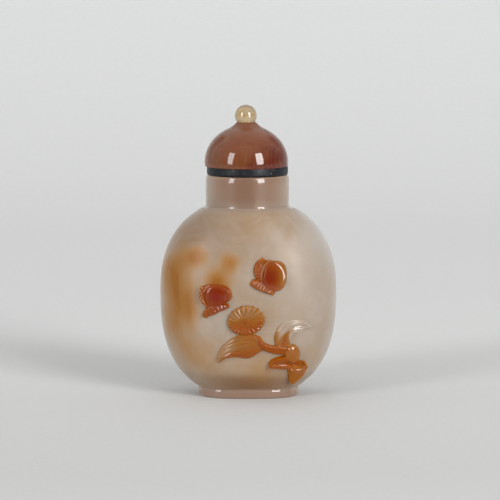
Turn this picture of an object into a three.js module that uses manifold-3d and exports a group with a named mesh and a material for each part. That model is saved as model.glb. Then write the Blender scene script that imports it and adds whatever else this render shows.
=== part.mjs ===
// Snuff bottle of mottled chalcedony, carved on its front with two butterflies above a
// chrysanthemum, and closed by a stopper of four pieces. Millimetres, +Z up, the origin under
// the middle of the foot, the carved front facing -Y.
import * as THREE from 'three';
import { mergeVertices } from 'three/addons/utils/BufferGeometryUtils.js';
import Module from 'manifold-3d';

const wasm = await Module();
wasm.setup();

// Body: a flattened egg, oval in every level section
const BODY_HALF_WIDTH = 20.0;
const BODY_HALF_DEPTH = 14.0;
const EQUATOR_Z = 24.0;
const SHOULDER_POWER = 2.3;
const BELLY_POWER = 2.6;
const BODY_START_Z = 2.55;
const BODY_START_HALF_WIDTH = 12.2;
const BODY_START_HALF_DEPTH = 9.2;
const SECTION_POWER = 2.3;

// Foot: an oval ring round a shallow recess, squarer than the body above it
const FOOT_HALF_WIDTH = 11.4;
const FOOT_HALF_DEPTH = 8.66;
const FOOT_RING_WIDTH = 2.3;
const FOOT_EDGE = 0.45;
const FOOT_WAIST_Z = 2.25;
const FOOT_WAIST_STEP = 0.14;
const FOOT_POWER = 2.6;
const FOOT_BLEND_Z = 3.6;
const RECESS_DEPTH = 0.6;

// Neck: round, eased over a tall edge towards the lip, and a touch left of the body's middle
const NECK_RADIUS = 9.5;
const NECK_START_Z = 43.0;
const LIP_Z = 50.2;
const LIP_RADIUS = 9.1;
const LIP_EASE = 1.25;
const NECK_SHIFT_X = -0.2;
const NECK_BLEND = 8.0;
const NECK_SHIFT_BLEND = 1.5;

// Hollow: a bore through the neck that opens into an egg-shaped cavity
const BORE_RADIUS = 4.1;
const CAVITY_HALF_WIDTH = 16.4;
const CAVITY_HALF_DEPTH = 10.9;
const CAVITY_FLOOR_Z = 5.6;
const CAVITY_ROOF_Z = 41.2;

// Stopper: a cork and a collar under a dome, with a bead on top
const CORK_RADIUS = 3.8;
const CORK_END_RADIUS = 3.55;
const CORK_EDGE = 0.3;
const CORK_LENGTH = 6.0;
const COLLAR_RADIUS = 9.2;
const COLLAR_HEIGHT = 1.9;
const COLLAR_EDGE = 0.4;
const DOME_RADIUS = 9.47;
const DOME_RISE = 8.45;
const DOME_SKIRT = 0.9;
const DOME_EDGE = 0.12;
const DOME_THROAT_RADIUS = 4.2;
const DOME_SEAT_RADIUS = 2.35;
const DOME_SEAT_Z = 62.0;
const DOME_SHIFT_X = -0.45;
const BEAD_RADIUS = 2.52;
const BEAD_CENTRE_Z = 63.48;
const BEAD_SHIFT_X = -0.55;

// Carving: how deep each patch is rooted in the wall, how much of it is a steep edge, and how
// thick the beds are that join the patches of a figure
const ROOT_DEPTH = 0.9;
const EDGE_SHARE = 0.4;
const CROWN_POWER = 2.4;
const BRANCH_BED_HEIGHT = 0.6;
const BUTTERFLY_BED_HEIGHT = 0.8;
const WING_POWER = 2.6;

// Chrysanthemum: an oval head whose petals run out from an eye that is a little off its middle
const FLOWER_CENTRE = [-0.5, 18.65];
const FLOWER_HALF_WIDTH = 4.25;
const FLOWER_HALF_HEIGHT = 3.45;
const FLOWER_TILT = 0.16;
const FLOWER_EYE = [-0.95, 18.2];
const FLOWER_EYE_SHARE = 0.17;
const FLOWER_HEIGHT = 1.0;
const FLOWER_BOWL = 0.45;
const FLOWER_EYE_LIFT = 0.12;
const PETALS = 22;
const PETAL_GROOVE = 0.2;
const PETAL_SCALLOP = 0.045;

// Facets round the turned pieces
const BODY_SECTORS = 48;
const CAVITY_SECTORS = 24;
const STOPPER_SECTORS = 32;
const BEAD_SECTORS = 20;
const BODY_RINGS = 8;
const CAVITY_RINGS = 6;
const DOME_RINGS = 7;

const COLLAR_TOP_Z = LIP_Z + COLLAR_HEIGHT;
const DOME_WIDEST_Z = COLLAR_TOP_Z + DOME_SKIRT;

// Half of an oval's breadth at a distance from its widest level, where it has to narrow from
// half to end over run
function bulge(half, end, run, power, distance) {
  const reach = run / (1 - (end / half) ** power) ** (1 / power);
  return half * (1 - (distance / reach) ** power) ** (1 / power);
}

function bodyHalf(half, startHalf, z) {
  if (z > EQUATOR_Z) {
    return bulge(half, NECK_RADIUS, NECK_START_Z - EQUATOR_Z, SHOULDER_POWER, z - EQUATOR_Z);
  }
  return bulge(half, startHalf, EQUATOR_Z - BODY_START_Z, BELLY_POWER, EQUATOR_Z - z);
}

const bodyHalfWidth = (z) => bodyHalf(BODY_HALF_WIDTH, BODY_START_HALF_WIDTH, z);
const bodyHalfDepth = (z) => bodyHalf(BODY_HALF_DEPTH, BODY_START_HALF_DEPTH, z);

// How far a level has turned from the body's section into the round neck, from 0 to 1
function neckShare(z) {
  return THREE.MathUtils.smoothstep(z, NECK_START_Z - NECK_BLEND, NECK_START_Z);
}

function middleX(z) {
  return NECK_SHIFT_X * THREE.MathUtils.smoothstep(z, NECK_START_Z - NECK_SHIFT_BLEND, NECK_START_Z);
}

// How square a level section is: squarest at the foot, round at the neck
function sectionPower(z) {
  const footShare = 1 - THREE.MathUtils.smoothstep(z, BODY_START_Z, FOOT_BLEND_Z);
  const bodyPower = THREE.MathUtils.lerp(SECTION_POWER, 2, neckShare(z));
  return bodyPower + (FOOT_POWER - SECTION_POWER) * footShare;
}

// Shares of the half width and half depth at an angle round an oval, squarer for a power above 2
function ovalShares(angle, power) {
  const share = (value) => Math.sign(value) * Math.abs(value) ** (2 / power);
  return [share(Math.cos(angle)), share(Math.sin(angle))];
}

// Levels crowded towards the end of a run, where an oval turns fastest
function levels(from, to, count) {
  return Array.from({ length: count }, (_, i) => {
    return from + (to - from) * Math.sin((Math.PI / 2) * ((i + 1) / count));
  });
}

function toSolid(geometry) {
  const bare = new THREE.BufferGeometry();
  bare.setAttribute('position', geometry.getAttribute('position').clone());
  bare.setIndex(geometry.getIndex());
  const merged = mergeVertices(bare, 1e-4);
  const corners = merged.getIndex().array;
  const kept = [];
  for (let i = 0; i < corners.length; i += 3) {
    const [a, b, c] = corners.slice(i, i + 3);
    if (a !== b && b !== c && c !== a) kept.push(a, b, c);
  }
  return new wasm.Manifold(new wasm.Mesh({
    numProp: 3,
    vertProperties: new Float32Array(merged.getAttribute('position').array),
    triVerts: new Uint32Array(kept),
  }));
}

function toGeometry(solid) {
  const mesh = solid.getMesh();
  const geometry = new THREE.BufferGeometry();
  geometry.setAttribute('position', new THREE.BufferAttribute(mesh.vertProperties, 3));
  geometry.setIndex(new THREE.BufferAttribute(mesh.triVerts, 1));
  geometry.computeVertexNormals();
  return geometry;
}

// A turned solid whose every ring is an oval: rings run from the axis at the bottom, up the
// outside, to the axis at the top
function ovalLathe(rings, sectors) {
  const profile = rings.map((ring) => new THREE.Vector2(ring.halfWidth, ring.z));
  const geometry = new THREE.LatheGeometry(profile, sectors);
  const position = geometry.getAttribute('position');
  for (let i = 0; i < position.count; i += 1) {
    const ring = rings[i % rings.length];
    const column = Math.floor(i / rings.length) % sectors;
    const [across, deep] = ovalShares((column / sectors) * Math.PI * 2, ring.power);
    position.setXYZ(i, ring.middle + ring.halfWidth * across, ring.halfDepth * deep, ring.z);
  }
  flipIfInsideOut(geometry);
  return geometry;
}

// Six times the volume that a closed mesh holds, negative where its faces point inwards
function signedVolume(geometry) {
  const position = geometry.getAttribute('position');
  const corners = geometry.getIndex().array;
  const [a, b, c] = [new THREE.Vector3(), new THREE.Vector3(), new THREE.Vector3()];
  let volume = 0;
  for (let i = 0; i < corners.length; i += 3) {
    a.fromBufferAttribute(position, corners[i]);
    b.fromBufferAttribute(position, corners[i + 1]);
    c.fromBufferAttribute(position, corners[i + 2]);
    volume += a.dot(b.cross(c));
  }
  return volume;
}

function flipIfInsideOut(geometry) {
  if (signedVolume(geometry) > 0) return;
  const corners = geometry.getIndex().array;
  for (let i = 0; i < corners.length; i += 3) {
    [corners[i], corners[i + 1]] = [corners[i + 1], corners[i]];
  }
}

function ring(halfWidth, halfDepth, z) {
  return { halfWidth, halfDepth, z, middle: middleX(z), power: sectionPower(z) };
}

const roundRing = (radius, z) => ring(radius, radius, z);

// The outside of the stone, from the recess under the foot up to the lip
function bodySolid() {
  const footRing = (inset, z) => ring(FOOT_HALF_WIDTH - inset, FOOT_HALF_DEPTH - inset, z);
  const bodyRing = (z) => ring(bodyHalfWidth(z), bodyHalfDepth(z), z);
  const below = levels(EQUATOR_Z, BODY_START_Z, BODY_RINGS).reverse();
  const above = levels(EQUATOR_Z, NECK_START_Z, BODY_RINGS);
  const lipRings = [0, 0.4, 0.7, 1].map((share) => {
    const angle = (share * Math.PI) / 2;
    const radius = LIP_RADIUS + (NECK_RADIUS - LIP_RADIUS) * Math.cos(angle);
    return roundRing(radius, LIP_Z - LIP_EASE * (1 - Math.sin(angle)));
  });
  const rings = [
    ring(0, 0, RECESS_DEPTH),
    footRing(FOOT_RING_WIDTH + RECESS_DEPTH, RECESS_DEPTH),
    footRing(FOOT_RING_WIDTH, 0),
    footRing(FOOT_EDGE, 0),
    footRing(FOOT_EDGE * 0.3, FOOT_EDGE * 0.7),
    footRing(0, FOOT_EDGE * 2),
    footRing(FOOT_WAIST_STEP, FOOT_WAIST_Z),
    ...below.map(bodyRing),
    bodyRing(EQUATOR_Z),
    ...above.map(bodyRing),
    ...lipRings,
    roundRing(0, LIP_Z),
  ];
  return toSolid(ovalLathe(rings, BODY_SECTORS));
}

// The cavity and the bore above it, run past the lip so that the cut leaves it open
function hollowSolid() {
  const cavityRing = (z) => {
    const half = (widest) => (z > EQUATOR_Z
      ? bulge(widest, BORE_RADIUS, CAVITY_ROOF_Z - EQUATOR_Z, SHOULDER_POWER, z - EQUATOR_Z)
      : bulge(widest, 0, EQUATOR_Z - CAVITY_FLOOR_Z, BELLY_POWER, EQUATOR_Z - z));
    return ring(half(CAVITY_HALF_WIDTH), half(CAVITY_HALF_DEPTH), z);
  };
  const below = levels(EQUATOR_Z, CAVITY_FLOOR_Z, CAVITY_RINGS).reverse();
  const above = levels(EQUATOR_Z, CAVITY_ROOF_Z, CAVITY_RINGS);
  const pastLip = LIP_Z + 1;
  const rings = [
    ring(0, 0, CAVITY_FLOOR_Z),
    ...below.slice(1).map(cavityRing),
    cavityRing(EQUATOR_Z),
    ...above.map(cavityRing),
    roundRing(BORE_RADIUS, NECK_START_Z),
    roundRing(BORE_RADIUS, pastLip),
    roundRing(0, pastLip),
  ];
  return toSolid(ovalLathe(rings, CAVITY_SECTORS));
}

// A point of the plain front of the body, and the direction straight out of it
function skinPoint(x, z) {
  const power = sectionPower(z);
  const across = Math.abs(x / bodyHalfWidth(z));
  return new THREE.Vector3(x, -bodyHalfDepth(z) * (1 - across ** power) ** (1 / power), z);
}

function skinNormal(x, z) {
  const step = 0.05;
  const alongX = skinPoint(x + step, z).sub(skinPoint(x - step, z));
  const alongZ = skinPoint(x, z + step).sub(skinPoint(x, z - step));
  return alongX.cross(alongZ).normalize();
}

const raised = (x, z, lift) => skinPoint(x, z).addScaledVector(skinNormal(x, z), lift);

// Height across a rounded patch, from 0 in its middle to 1 at its edge
function crown(share) {
  const dome = Math.sqrt(Math.max(0, 1 - Math.abs(share) ** CROWN_POWER));
  return EDGE_SHARE + (1 - EDGE_SHARE) * dome;
}

// A value that runs smoothly through evenly spaced stops
function along(stops, t) {
  return new THREE.SplineCurve(stops.map((stop, i) => new THREE.Vector2(i, stop))).getPoint(t).y;
}

// A carved blade: a spine on the front of the body with its own width on either side of it,
// its crown, a fold along the spine and flutes across it
function blade({
  spine, left, right, height, fold = 0, flutes = 0, fluteDepth = 0, rows = 8, columns = 6,
}) {
  const curve = new THREE.SplineCurve(spine.map(([x, z]) => new THREE.Vector2(x, z)));
  const geometry = new THREE.BoxGeometry(1, 1, 1, columns, rows, 1);
  const position = geometry.getAttribute('position');
  for (let i = 0; i < position.count; i += 1) {
    const t = position.getY(i) + 0.5;
    const across = position.getX(i) * 2;
    const middle = curve.getPoint(t);
    const forward = curve.getTangent(t);
    const half = across < 0 ? along(left, t) : along(right, t);
    const x = middle.x + forward.y * across * half;
    const z = middle.y - forward.x * across * half;
    const groove = fold * Math.max(0, 1 - Math.abs(across) * 2);
    const flute = fluteDepth * Math.sin(t * flutes * Math.PI) ** 2;
    const lift = position.getZ(i) > 0 ? height * crown(across) - groove - flute : -ROOT_DEPTH;
    position.setXYZ(i, ...raised(x, z, lift).toArray());
  }
  flipIfInsideOut(geometry);
  return toSolid(geometry);
}

// A carved boss: rings from a centre out to an oval edge, each with its own lift
function boss({
  centre, halfWidth, halfHeight, tilt = 0, power = 2, eye = centre, sectors, shares, lift, edge,
}) {
  const top = shares.map((share) => new THREE.Vector2(share, 1));
  const under = [new THREE.Vector2(1, 0), new THREE.Vector2(0, 0)];
  const geometry = new THREE.LatheGeometry([...top, ...under], sectors);
  const count = shares.length + under.length;
  const position = geometry.getAttribute('position');
  for (let i = 0; i < position.count; i += 1) {
    const sector = Math.floor(i / count) % sectors;
    const [acrossShare, upShare] = ovalShares((sector / sectors) * Math.PI * 2, power);
    const onTop = i % count < shares.length;
    const share = onTop ? shares[i % count] : under[(i % count) - shares.length].x;
    const reach = edge(sector);
    const across = halfWidth * acrossShare * reach;
    const up = halfHeight * upShare * reach;
    const rimX = centre[0] + across * Math.cos(tilt) - up * Math.sin(tilt);
    const rimZ = centre[1] + across * Math.sin(tilt) + up * Math.cos(tilt);
    const x = THREE.MathUtils.lerp(eye[0], rimX, share);
    const z = THREE.MathUtils.lerp(eye[1], rimZ, share);
    const height = onTop ? lift(share, sector) : -ROOT_DEPTH;
    position.setXYZ(i, ...raised(x, z, height).toArray());
  }
  flipIfInsideOut(geometry);
  return toSolid(geometry);
}

function dome({ centre, halfWidth, halfHeight, height, tilt = 0, power = 2, sectors = 20 }) {
  return boss({
    centre,
    halfWidth,
    halfHeight,
    tilt,
    power,
    sectors,
    shares: [0, 0.4, 0.75, 0.93, 1],
    lift: (share) => height * crown(share),
    edge: () => 1,
  });
}

function chrysanthemum() {
  const isGroove = (sector) => sector % 2 === 1;
  return boss({
    centre: FLOWER_CENTRE,
    halfWidth: FLOWER_HALF_WIDTH,
    halfHeight: FLOWER_HALF_HEIGHT,
    tilt: FLOWER_TILT,
    eye: FLOWER_EYE,
    sectors: PETALS * 2,
    shares: [0, FLOWER_EYE_SHARE * 0.8, FLOWER_EYE_SHARE * 1.2, 0.55, 0.88, 1],
    lift: (share, sector) => {
      const bowl = FLOWER_BOWL * (1 - share) ** 2;
      const groove = isGroove(sector) ? PETAL_GROOVE * share : 0;
      const heart = share < FLOWER_EYE_SHARE ? FLOWER_EYE_LIFT : 0;
      return FLOWER_HEIGHT * crown(share ** 2) - bowl - groove + heart;
    },
    edge: (sector) => (isGroove(sector) ? 1 - PETAL_SCALLOP : 1),
  });
}

// Stem, leaves and the folded branch that the chrysanthemum grows from
function foliage() {
  const leftLeaf = blade({
    spine: [[2.7, 12.7], [-0.1, 12.4], [-3.5, 11.7], [-5.6, 10.4], [-6.7, 8.9]],
    left: [1.2, 2.4, 1.6, 0.8, 0.15],
    right: [2.4, 3.5, 2.6, 1.4, 0.15],
    height: 0.75,
    fold: 0.25,
  });
  const rightLeaf = blade({
    spine: [[7.6, 12.3], [7.7, 14.5], [9.0, 16.5], [11.5, 17.3], [14.2, 16.8]],
    left: [1.3, 2.0, 2.2, 1.4, 0.15],
    right: [1.6, 1.9, 1.5, 1.5, 0.15],
    height: 0.7,
    fold: 0.25,
  });
  const stem = blade({
    spine: [[2.3, 14.9], [2.9, 13.4], [4.6, 12.25], [6.6, 11.85], [8.6, 11.7]],
    left: [0.3, 0.6, 0.9, 1.0, 1.1],
    right: [0.3, 0.8, 0.9, 1.0, 1.0],
    height: 0.9,
    rows: 6,
  });
  const bed = blade({
    spine: [[5.2, 8.7], [7.6, 8.8], [10.0, 8.7], [11.8, 8.5]],
    left: [0.5, 0.9, 1.2, 0.6],
    right: [0.5, 0.9, 1.3, 0.8],
    height: BRANCH_BED_HEIGHT,
    rows: 4,
  });
  const elbow = dome({
    centre: [9.7, 10.95],
    halfWidth: 1.85,
    halfHeight: 2.1,
    height: 1.25,
    sectors: 16,
  });
  const limb = blade({
    spine: [[9.6, 10.0], [8.4, 9.85], [6.9, 9.55], [5.6, 9.25], [4.8, 8.5]],
    left: [0.9, 0.75, 0.6, 0.6, 0.5],
    right: [0.9, 0.8, 0.7, 0.6, 0.5],
    height: 1.05,
    rows: 6,
  });
  const fold = blade({
    spine: [[4.8, 8.3], [6.6, 8.3], [8.4, 8.1], [9.9, 7.6]],
    left: [0.6, 0.75, 0.8, 0.6],
    right: [0.6, 0.8, 0.8, 0.5],
    height: 1.1,
    rows: 6,
  });
  const tongue = blade({
    spine: [[9.5, 4.3], [10.1, 5.4], [10.7, 6.4], [11.3, 7.4]],
    left: [0.75, 1.4, 2.4, 1.9],
    right: [0.7, 1.25, 1.6, 1.6],
    height: 1.2,
    rows: 6,
  });
  const curl = blade({
    spine: [[9.2, 7.5], [10.5, 7.2], [11.7, 7.5], [12.35, 8.2], [12.15, 9.0]],
    left: [0.4, 0.6, 0.65, 0.5, 0.25],
    right: [0.4, 0.8, 0.85, 0.7, 0.3],
    height: 1.25,
    rows: 6,
  });
  return [leftLeaf, rightLeaf, stem, bed, elbow, limb, fold, tongue, curl];
}

// Butterfly with its wing spread to the left and a fluted hind wing under it
function leftButterfly() {
  const bed = blade({
    spine: [[-7.0, 25.7], [-7.35, 24.3], [-7.6, 22.8], [-7.9, 21.1], [-9.4, 19.6]],
    left: [2.7, 3.5, 2.3, 1.3, 0.4],
    right: [2.8, 3.5, 3.0, 2.0, 0.5],
    height: BUTTERFLY_BED_HEIGHT,
    rows: 6,
  });
  const lobe = dome({
    centre: [-9.5, 19.9],
    halfWidth: 0.8,
    halfHeight: 0.85,
    height: 0.75,
    sectors: 12,
  });
  const hindWing = blade({
    spine: [[-9.5, 20.4], [-8.2, 20.65], [-6.8, 21.25], [-5.4, 21.7], [-4.4, 21.95]],
    left: [0.8, 1.3, 1.0, 0.75, 0.55],
    right: [1.0, 1.0, 0.8, 0.7, 0.45],
    height: 0.95,
    flutes: 7,
    fluteDepth: 0.25,
    rows: 14,
    columns: 4,
  });
  const frontWing = blade({
    spine: [[-9.8, 26.0], [-10.4, 25.0], [-10.4, 23.9], [-10.0, 22.8], [-9.2, 21.9]],
    left: [0.4, 0.55, 0.55, 0.55, 0.4],
    right: [0.4, 0.6, 0.6, 0.55, 0.4],
    height: 1.05,
    rows: 6,
  });
  const rearWing = dome({ centre: [-4.85, 24.4], halfWidth: 1.2, halfHeight: 1.6, height: 1.05 });
  const wing = dome({
    centre: [-7.2, 24.15],
    halfWidth: 2.45,
    halfHeight: 2.4,
    height: 1.2,
    power: WING_POWER,
  });
  return [bed, lobe, hindWing, frontWing, rearWing, wing];
}

// Butterfly with its wing spread to the right and a long hind wing slanting under it
function rightButterfly() {
  const bed = blade({
    spine: [[4.4, 31.9], [4.6, 30.0], [4.8, 28.2], [4.6, 26.6], [5.2, 25.0]],
    left: [0.7, 2.6, 2.8, 2.6, 0.5],
    right: [0.9, 2.6, 2.8, 2.6, 0.5],
    height: BUTTERFLY_BED_HEIGHT,
    rows: 6,
  });
  const frontWing = blade({
    spine: [[3.4, 32.4], [2.4, 31.2], [2.1, 29.8], [2.2, 28.2]],
    left: [0.6, 0.95, 0.95, 0.5],
    right: [0.5, 0.85, 0.9, 0.6],
    height: 0.9,
    rows: 6,
  });
  const wing = dome({
    centre: [5.85, 28.6],
    halfWidth: 2.7,
    halfHeight: 3.4,
    height: 1.2,
    tilt: -0.06,
    power: WING_POWER,
  });
  const ridge = blade({
    spine: [[4.6, 32.0], [3.6, 31.0], [3.15, 29.9], [2.85, 28.8], [2.85, 27.8]],
    left: [0.25, 0.32, 0.34, 0.3, 0.25],
    right: [0.25, 0.32, 0.34, 0.3, 0.25],
    height: 1.05,
    rows: 5,
  });
  const hindWing = blade({
    spine: [[0.7, 27.25], [2.0, 26.75], [3.3, 26.0], [4.5, 25.4], [5.7, 24.6]],
    left: [0.7, 1.1, 0.95, 0.85, 0.4],
    right: [0.7, 1.1, 0.95, 0.8, 0.4],
    height: 1.0,
    flutes: 8,
    fluteDepth: 0.22,
    rows: 16,
    columns: 4,
  });
  return [bed, frontWing, wing, ridge, hindWing];
}

// The main body of a joined solid, without the slivers shut in where two patches cross
function largest(solid) {
  return solid.decompose().reduce((main, other) => (other.volume() > main.volume() ? other : main));
}

function bottleGeometry() {
  const carving = [chrysanthemum(), ...foliage(), ...leftButterfly(), ...rightButterfly()];
  const stone = carving.reduce((whole, patch) => whole.add(patch), bodySolid());
  return toGeometry(largest(stone.subtract(hollowSolid())));
}

// A turned stopper piece from its radii and levels, between two points on its axis
function turned(radiiAndLevels, sectors) {
  const [first] = radiiAndLevels;
  const last = radiiAndLevels[radiiAndLevels.length - 1];
  const rings = [[0, first[1]], ...radiiAndLevels, [0, last[1]]];
  const round = rings.map(([radius, z]) => {
    return { halfWidth: radius, halfDepth: radius, z, middle: 0, power: 2 };
  });
  return toGeometry(toSolid(ovalLathe(round, sectors)));
}

function corkGeometry() {
  const bottomZ = LIP_Z - CORK_LENGTH;
  return turned([
    [CORK_END_RADIUS - CORK_EDGE, bottomZ],
    [CORK_END_RADIUS, bottomZ + CORK_EDGE],
    [CORK_RADIUS, LIP_Z],
  ], STOPPER_SECTORS);
}

function collarGeometry() {
  return turned([
    [COLLAR_RADIUS - COLLAR_EDGE, LIP_Z],
    [COLLAR_RADIUS, LIP_Z + COLLAR_EDGE],
    [COLLAR_RADIUS, COLLAR_TOP_Z],
  ], STOPPER_SECTORS);
}

// Half an ellipsoid on a short skirt, drawn up at the top into a seat for the bead
function domeGeometry() {
  const throatAngle = Math.acos(DOME_THROAT_RADIUS / DOME_RADIUS);
  const cap = Array.from({ length: DOME_RINGS }, (_, i) => {
    const angle = (i / (DOME_RINGS - 1)) * throatAngle;
    return [DOME_RADIUS * Math.cos(angle), DOME_WIDEST_Z + DOME_RISE * Math.sin(angle)];
  });
  return turned([
    [DOME_RADIUS - DOME_EDGE, COLLAR_TOP_Z],
    [DOME_RADIUS, COLLAR_TOP_Z + DOME_EDGE],
    ...cap,
    [DOME_SEAT_RADIUS, DOME_SEAT_Z - DOME_EDGE],
    [DOME_SEAT_RADIUS - DOME_EDGE, DOME_SEAT_Z],
  ], STOPPER_SECTORS);
}

// A ball ground flat where it sits on the dome
function beadGeometry() {
  const drop = BEAD_CENTRE_Z - DOME_SEAT_Z;
  const start = -Math.asin(drop / BEAD_RADIUS);
  const steps = 9;
  const arc = Array.from({ length: steps }, (_, i) => {
    const angle = THREE.MathUtils.lerp(start, Math.PI / 2, i / steps);
    return [BEAD_RADIUS * Math.cos(angle), BEAD_CENTRE_Z + BEAD_RADIUS * Math.sin(angle)];
  });
  return turned([...arc, [0.4, BEAD_CENTRE_Z + BEAD_RADIUS]], BEAD_SECTORS);
}

function piece(name, geometry, colour, roughness, shiftX = 0) {
  const material = new THREE.MeshStandardMaterial({ color: colour, roughness, metalness: 0 });
  const mesh = new THREE.Mesh(geometry, material);
  mesh.name = name;
  mesh.position.x = shiftX;
  return mesh;
}

const snuffBottle = new THREE.Group();
snuffBottle.add(
  piece('bottle', bottleGeometry(), 0xb09981, 0.35),
  piece('stopper_cork', corkGeometry(), 0x7a5238, 0.9, NECK_SHIFT_X),
  piece('stopper_collar', collarGeometry(), 0x303032, 0.5, NECK_SHIFT_X),
  piece('stopper_dome', domeGeometry(), 0x7e4a34, 0.15, DOME_SHIFT_X),
  piece('stopper_bead', beadGeometry(), 0xb99d77, 0.2, BEAD_SHIFT_X),
);

export default snuffBottle;
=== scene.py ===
# %% [markdown]
# A snuff bottle is a small stone flask that was carried in the hand. This one is cut from a single
# lump of chalcedony: the milky stone is the flask, and the russet skin of the lump was left
# standing on the front and carved into two butterflies over a chrysanthemum. We start from the
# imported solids, which give every piece its place and size, and dress them one by one.

# %% Load the frame
import math

import bmesh
import bpy
import numpy as np
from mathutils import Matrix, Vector


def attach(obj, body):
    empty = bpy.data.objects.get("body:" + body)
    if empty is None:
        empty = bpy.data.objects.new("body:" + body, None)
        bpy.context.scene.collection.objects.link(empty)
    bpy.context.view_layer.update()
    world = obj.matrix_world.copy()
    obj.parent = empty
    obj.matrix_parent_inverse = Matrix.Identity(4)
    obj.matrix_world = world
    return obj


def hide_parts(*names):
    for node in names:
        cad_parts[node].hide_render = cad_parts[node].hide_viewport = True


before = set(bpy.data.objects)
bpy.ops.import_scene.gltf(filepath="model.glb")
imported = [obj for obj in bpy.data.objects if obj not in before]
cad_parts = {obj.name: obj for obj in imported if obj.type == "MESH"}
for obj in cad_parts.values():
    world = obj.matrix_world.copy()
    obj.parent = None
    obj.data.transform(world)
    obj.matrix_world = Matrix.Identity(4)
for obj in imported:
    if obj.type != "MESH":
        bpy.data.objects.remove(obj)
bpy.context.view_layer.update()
MM = 0.001
print("nodes:", sorted(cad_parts))

# %% [markdown]
# The camera stands a little above the bottle and looks slightly down on it, with a long lens, so
# the sides hardly converge. Its distance, height and focal length are worked out from how much the
# round lip, the collar and the foot open towards the lens. The small shift puts the bottle in the
# same spot of the square picture.

# %% Camera
IMAGE_SIDE = 500
TARGET_PIXEL = (248.3, 249.6)
FOCAL_PIXELS = 3100
CAMERA_BACK = 700 * MM
CAMERA_HEIGHT = 112.755 * MM
TARGET_HEIGHT = 33 * MM
SENSOR = 36
NEAR_CLIP = 0.05

scene = bpy.context.scene
camera_data = bpy.data.cameras.new("camera")
camera_data.sensor_width = SENSOR
camera_data.lens = SENSOR * FOCAL_PIXELS / IMAGE_SIDE
camera_data.shift_x = (IMAGE_SIDE / 2 - TARGET_PIXEL[0]) / IMAGE_SIDE
camera_data.shift_y = (TARGET_PIXEL[1] - IMAGE_SIDE / 2) / IMAGE_SIDE
camera_data.clip_start = NEAR_CLIP
camera = bpy.data.objects.new("camera", camera_data)
scene.collection.objects.link(camera)
camera.location = (0, -CAMERA_BACK, CAMERA_HEIGHT)
look = Vector((0, 0, TARGET_HEIGHT)) - camera.location
camera.rotation_euler = look.to_track_quat("-Z", "Y").to_euler()
scene.camera = camera
scene.view_settings.view_transform = "Standard"
scene.cycles.use_denoising = True
print("lens:", round(camera_data.lens, 1), "mm")

# %% [markdown]
# All stone work is done in millimetres and scaled to metres at the end. The body is a flattened
# egg: in every level section it is an oval. Two curves say how wide and how deep that oval is at
# each height. Both are superellipses, which are fuller at the shoulder than a plain ellipse, and
# both shrink to the round neck at the top and to the foot below.

# %% The body's curves
BODY_HALF_WIDTH = 20.0
BODY_HALF_DEPTH = 14.0
EQUATOR_Z = 24.0
SHOULDER_POWER = 2.3
BELLY_POWER = 2.6
BODY_START_Z = 2.55
BODY_START_HALF_WIDTH = 12.2
BODY_START_HALF_DEPTH = 9.2
SECTION_POWER = 2.3
FOOT_POWER = 2.6
FOOT_BLEND_Z = 3.6
NECK_RADIUS = 9.5
NECK_START_Z = 43.0
NECK_SHIFT_X = -0.2
NECK_BLEND = 8.0
NECK_SHIFT_BLEND = 1.5


def bulge(half, end, run, power, distance):
    """Half breadth at a distance from the widest level, narrowing from half to end over run."""
    reach = run / (1 - (end / half) ** power) ** (1 / power)
    share = np.clip(distance / reach, 0, 1)
    return half * (1 - share**power) ** (1 / power)


def egg_half(half, top_half, top_z, bottom_half, bottom_z, z):
    """Half breadth of an egg at a height, with its widest level at the equator."""
    z = np.asarray(z, float)
    above = bulge(half, top_half, top_z - EQUATOR_Z, SHOULDER_POWER, np.maximum(z - EQUATOR_Z, 0))
    below = bulge(half, bottom_half, EQUATOR_Z - bottom_z, BELLY_POWER, np.maximum(EQUATOR_Z - z, 0))
    return np.where(z > EQUATOR_Z, above, below)


def body_half_width(z):
    return egg_half(BODY_HALF_WIDTH, NECK_RADIUS, NECK_START_Z, BODY_START_HALF_WIDTH, BODY_START_Z, z)


def body_half_depth(z):
    return egg_half(BODY_HALF_DEPTH, NECK_RADIUS, NECK_START_Z, BODY_START_HALF_DEPTH, BODY_START_Z, z)


def smooth_step(low, high, value):
    share = np.clip((np.asarray(value, float) - low) / (high - low), 0, 1)
    return share * share * (3 - 2 * share)


def neck_share(z):
    """0 where a section is the body's oval, 1 where it is the neck's circle."""
    return smooth_step(NECK_START_Z - NECK_BLEND, NECK_START_Z, z)


def middle_x(z):
    return NECK_SHIFT_X * smooth_step(NECK_START_Z - NECK_SHIFT_BLEND, NECK_START_Z, z)


def section_power(z):
    """How square a section is: squarest at the foot, round at the neck."""
    foot = 1 - smooth_step(BODY_START_Z, FOOT_BLEND_Z, z)
    return SECTION_POWER + (2 - SECTION_POWER) * neck_share(z) + (FOOT_POWER - SECTION_POWER) * foot


print("half width at the neck:", round(float(body_half_width(NECK_START_Z)), 2), "mm")

# %% [markdown]
# A lathe makes the blank. We draw half of the outline as a chain of edges, from the middle of the
# recess under the foot, out round the foot ring, up the belly, over the shoulder and the lip, and
# then down the bore and round the hollow inside, and spin it once round the upright axis. Edges
# that a hand would have eased, such as the lip and the foot, get a short arc.

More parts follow.
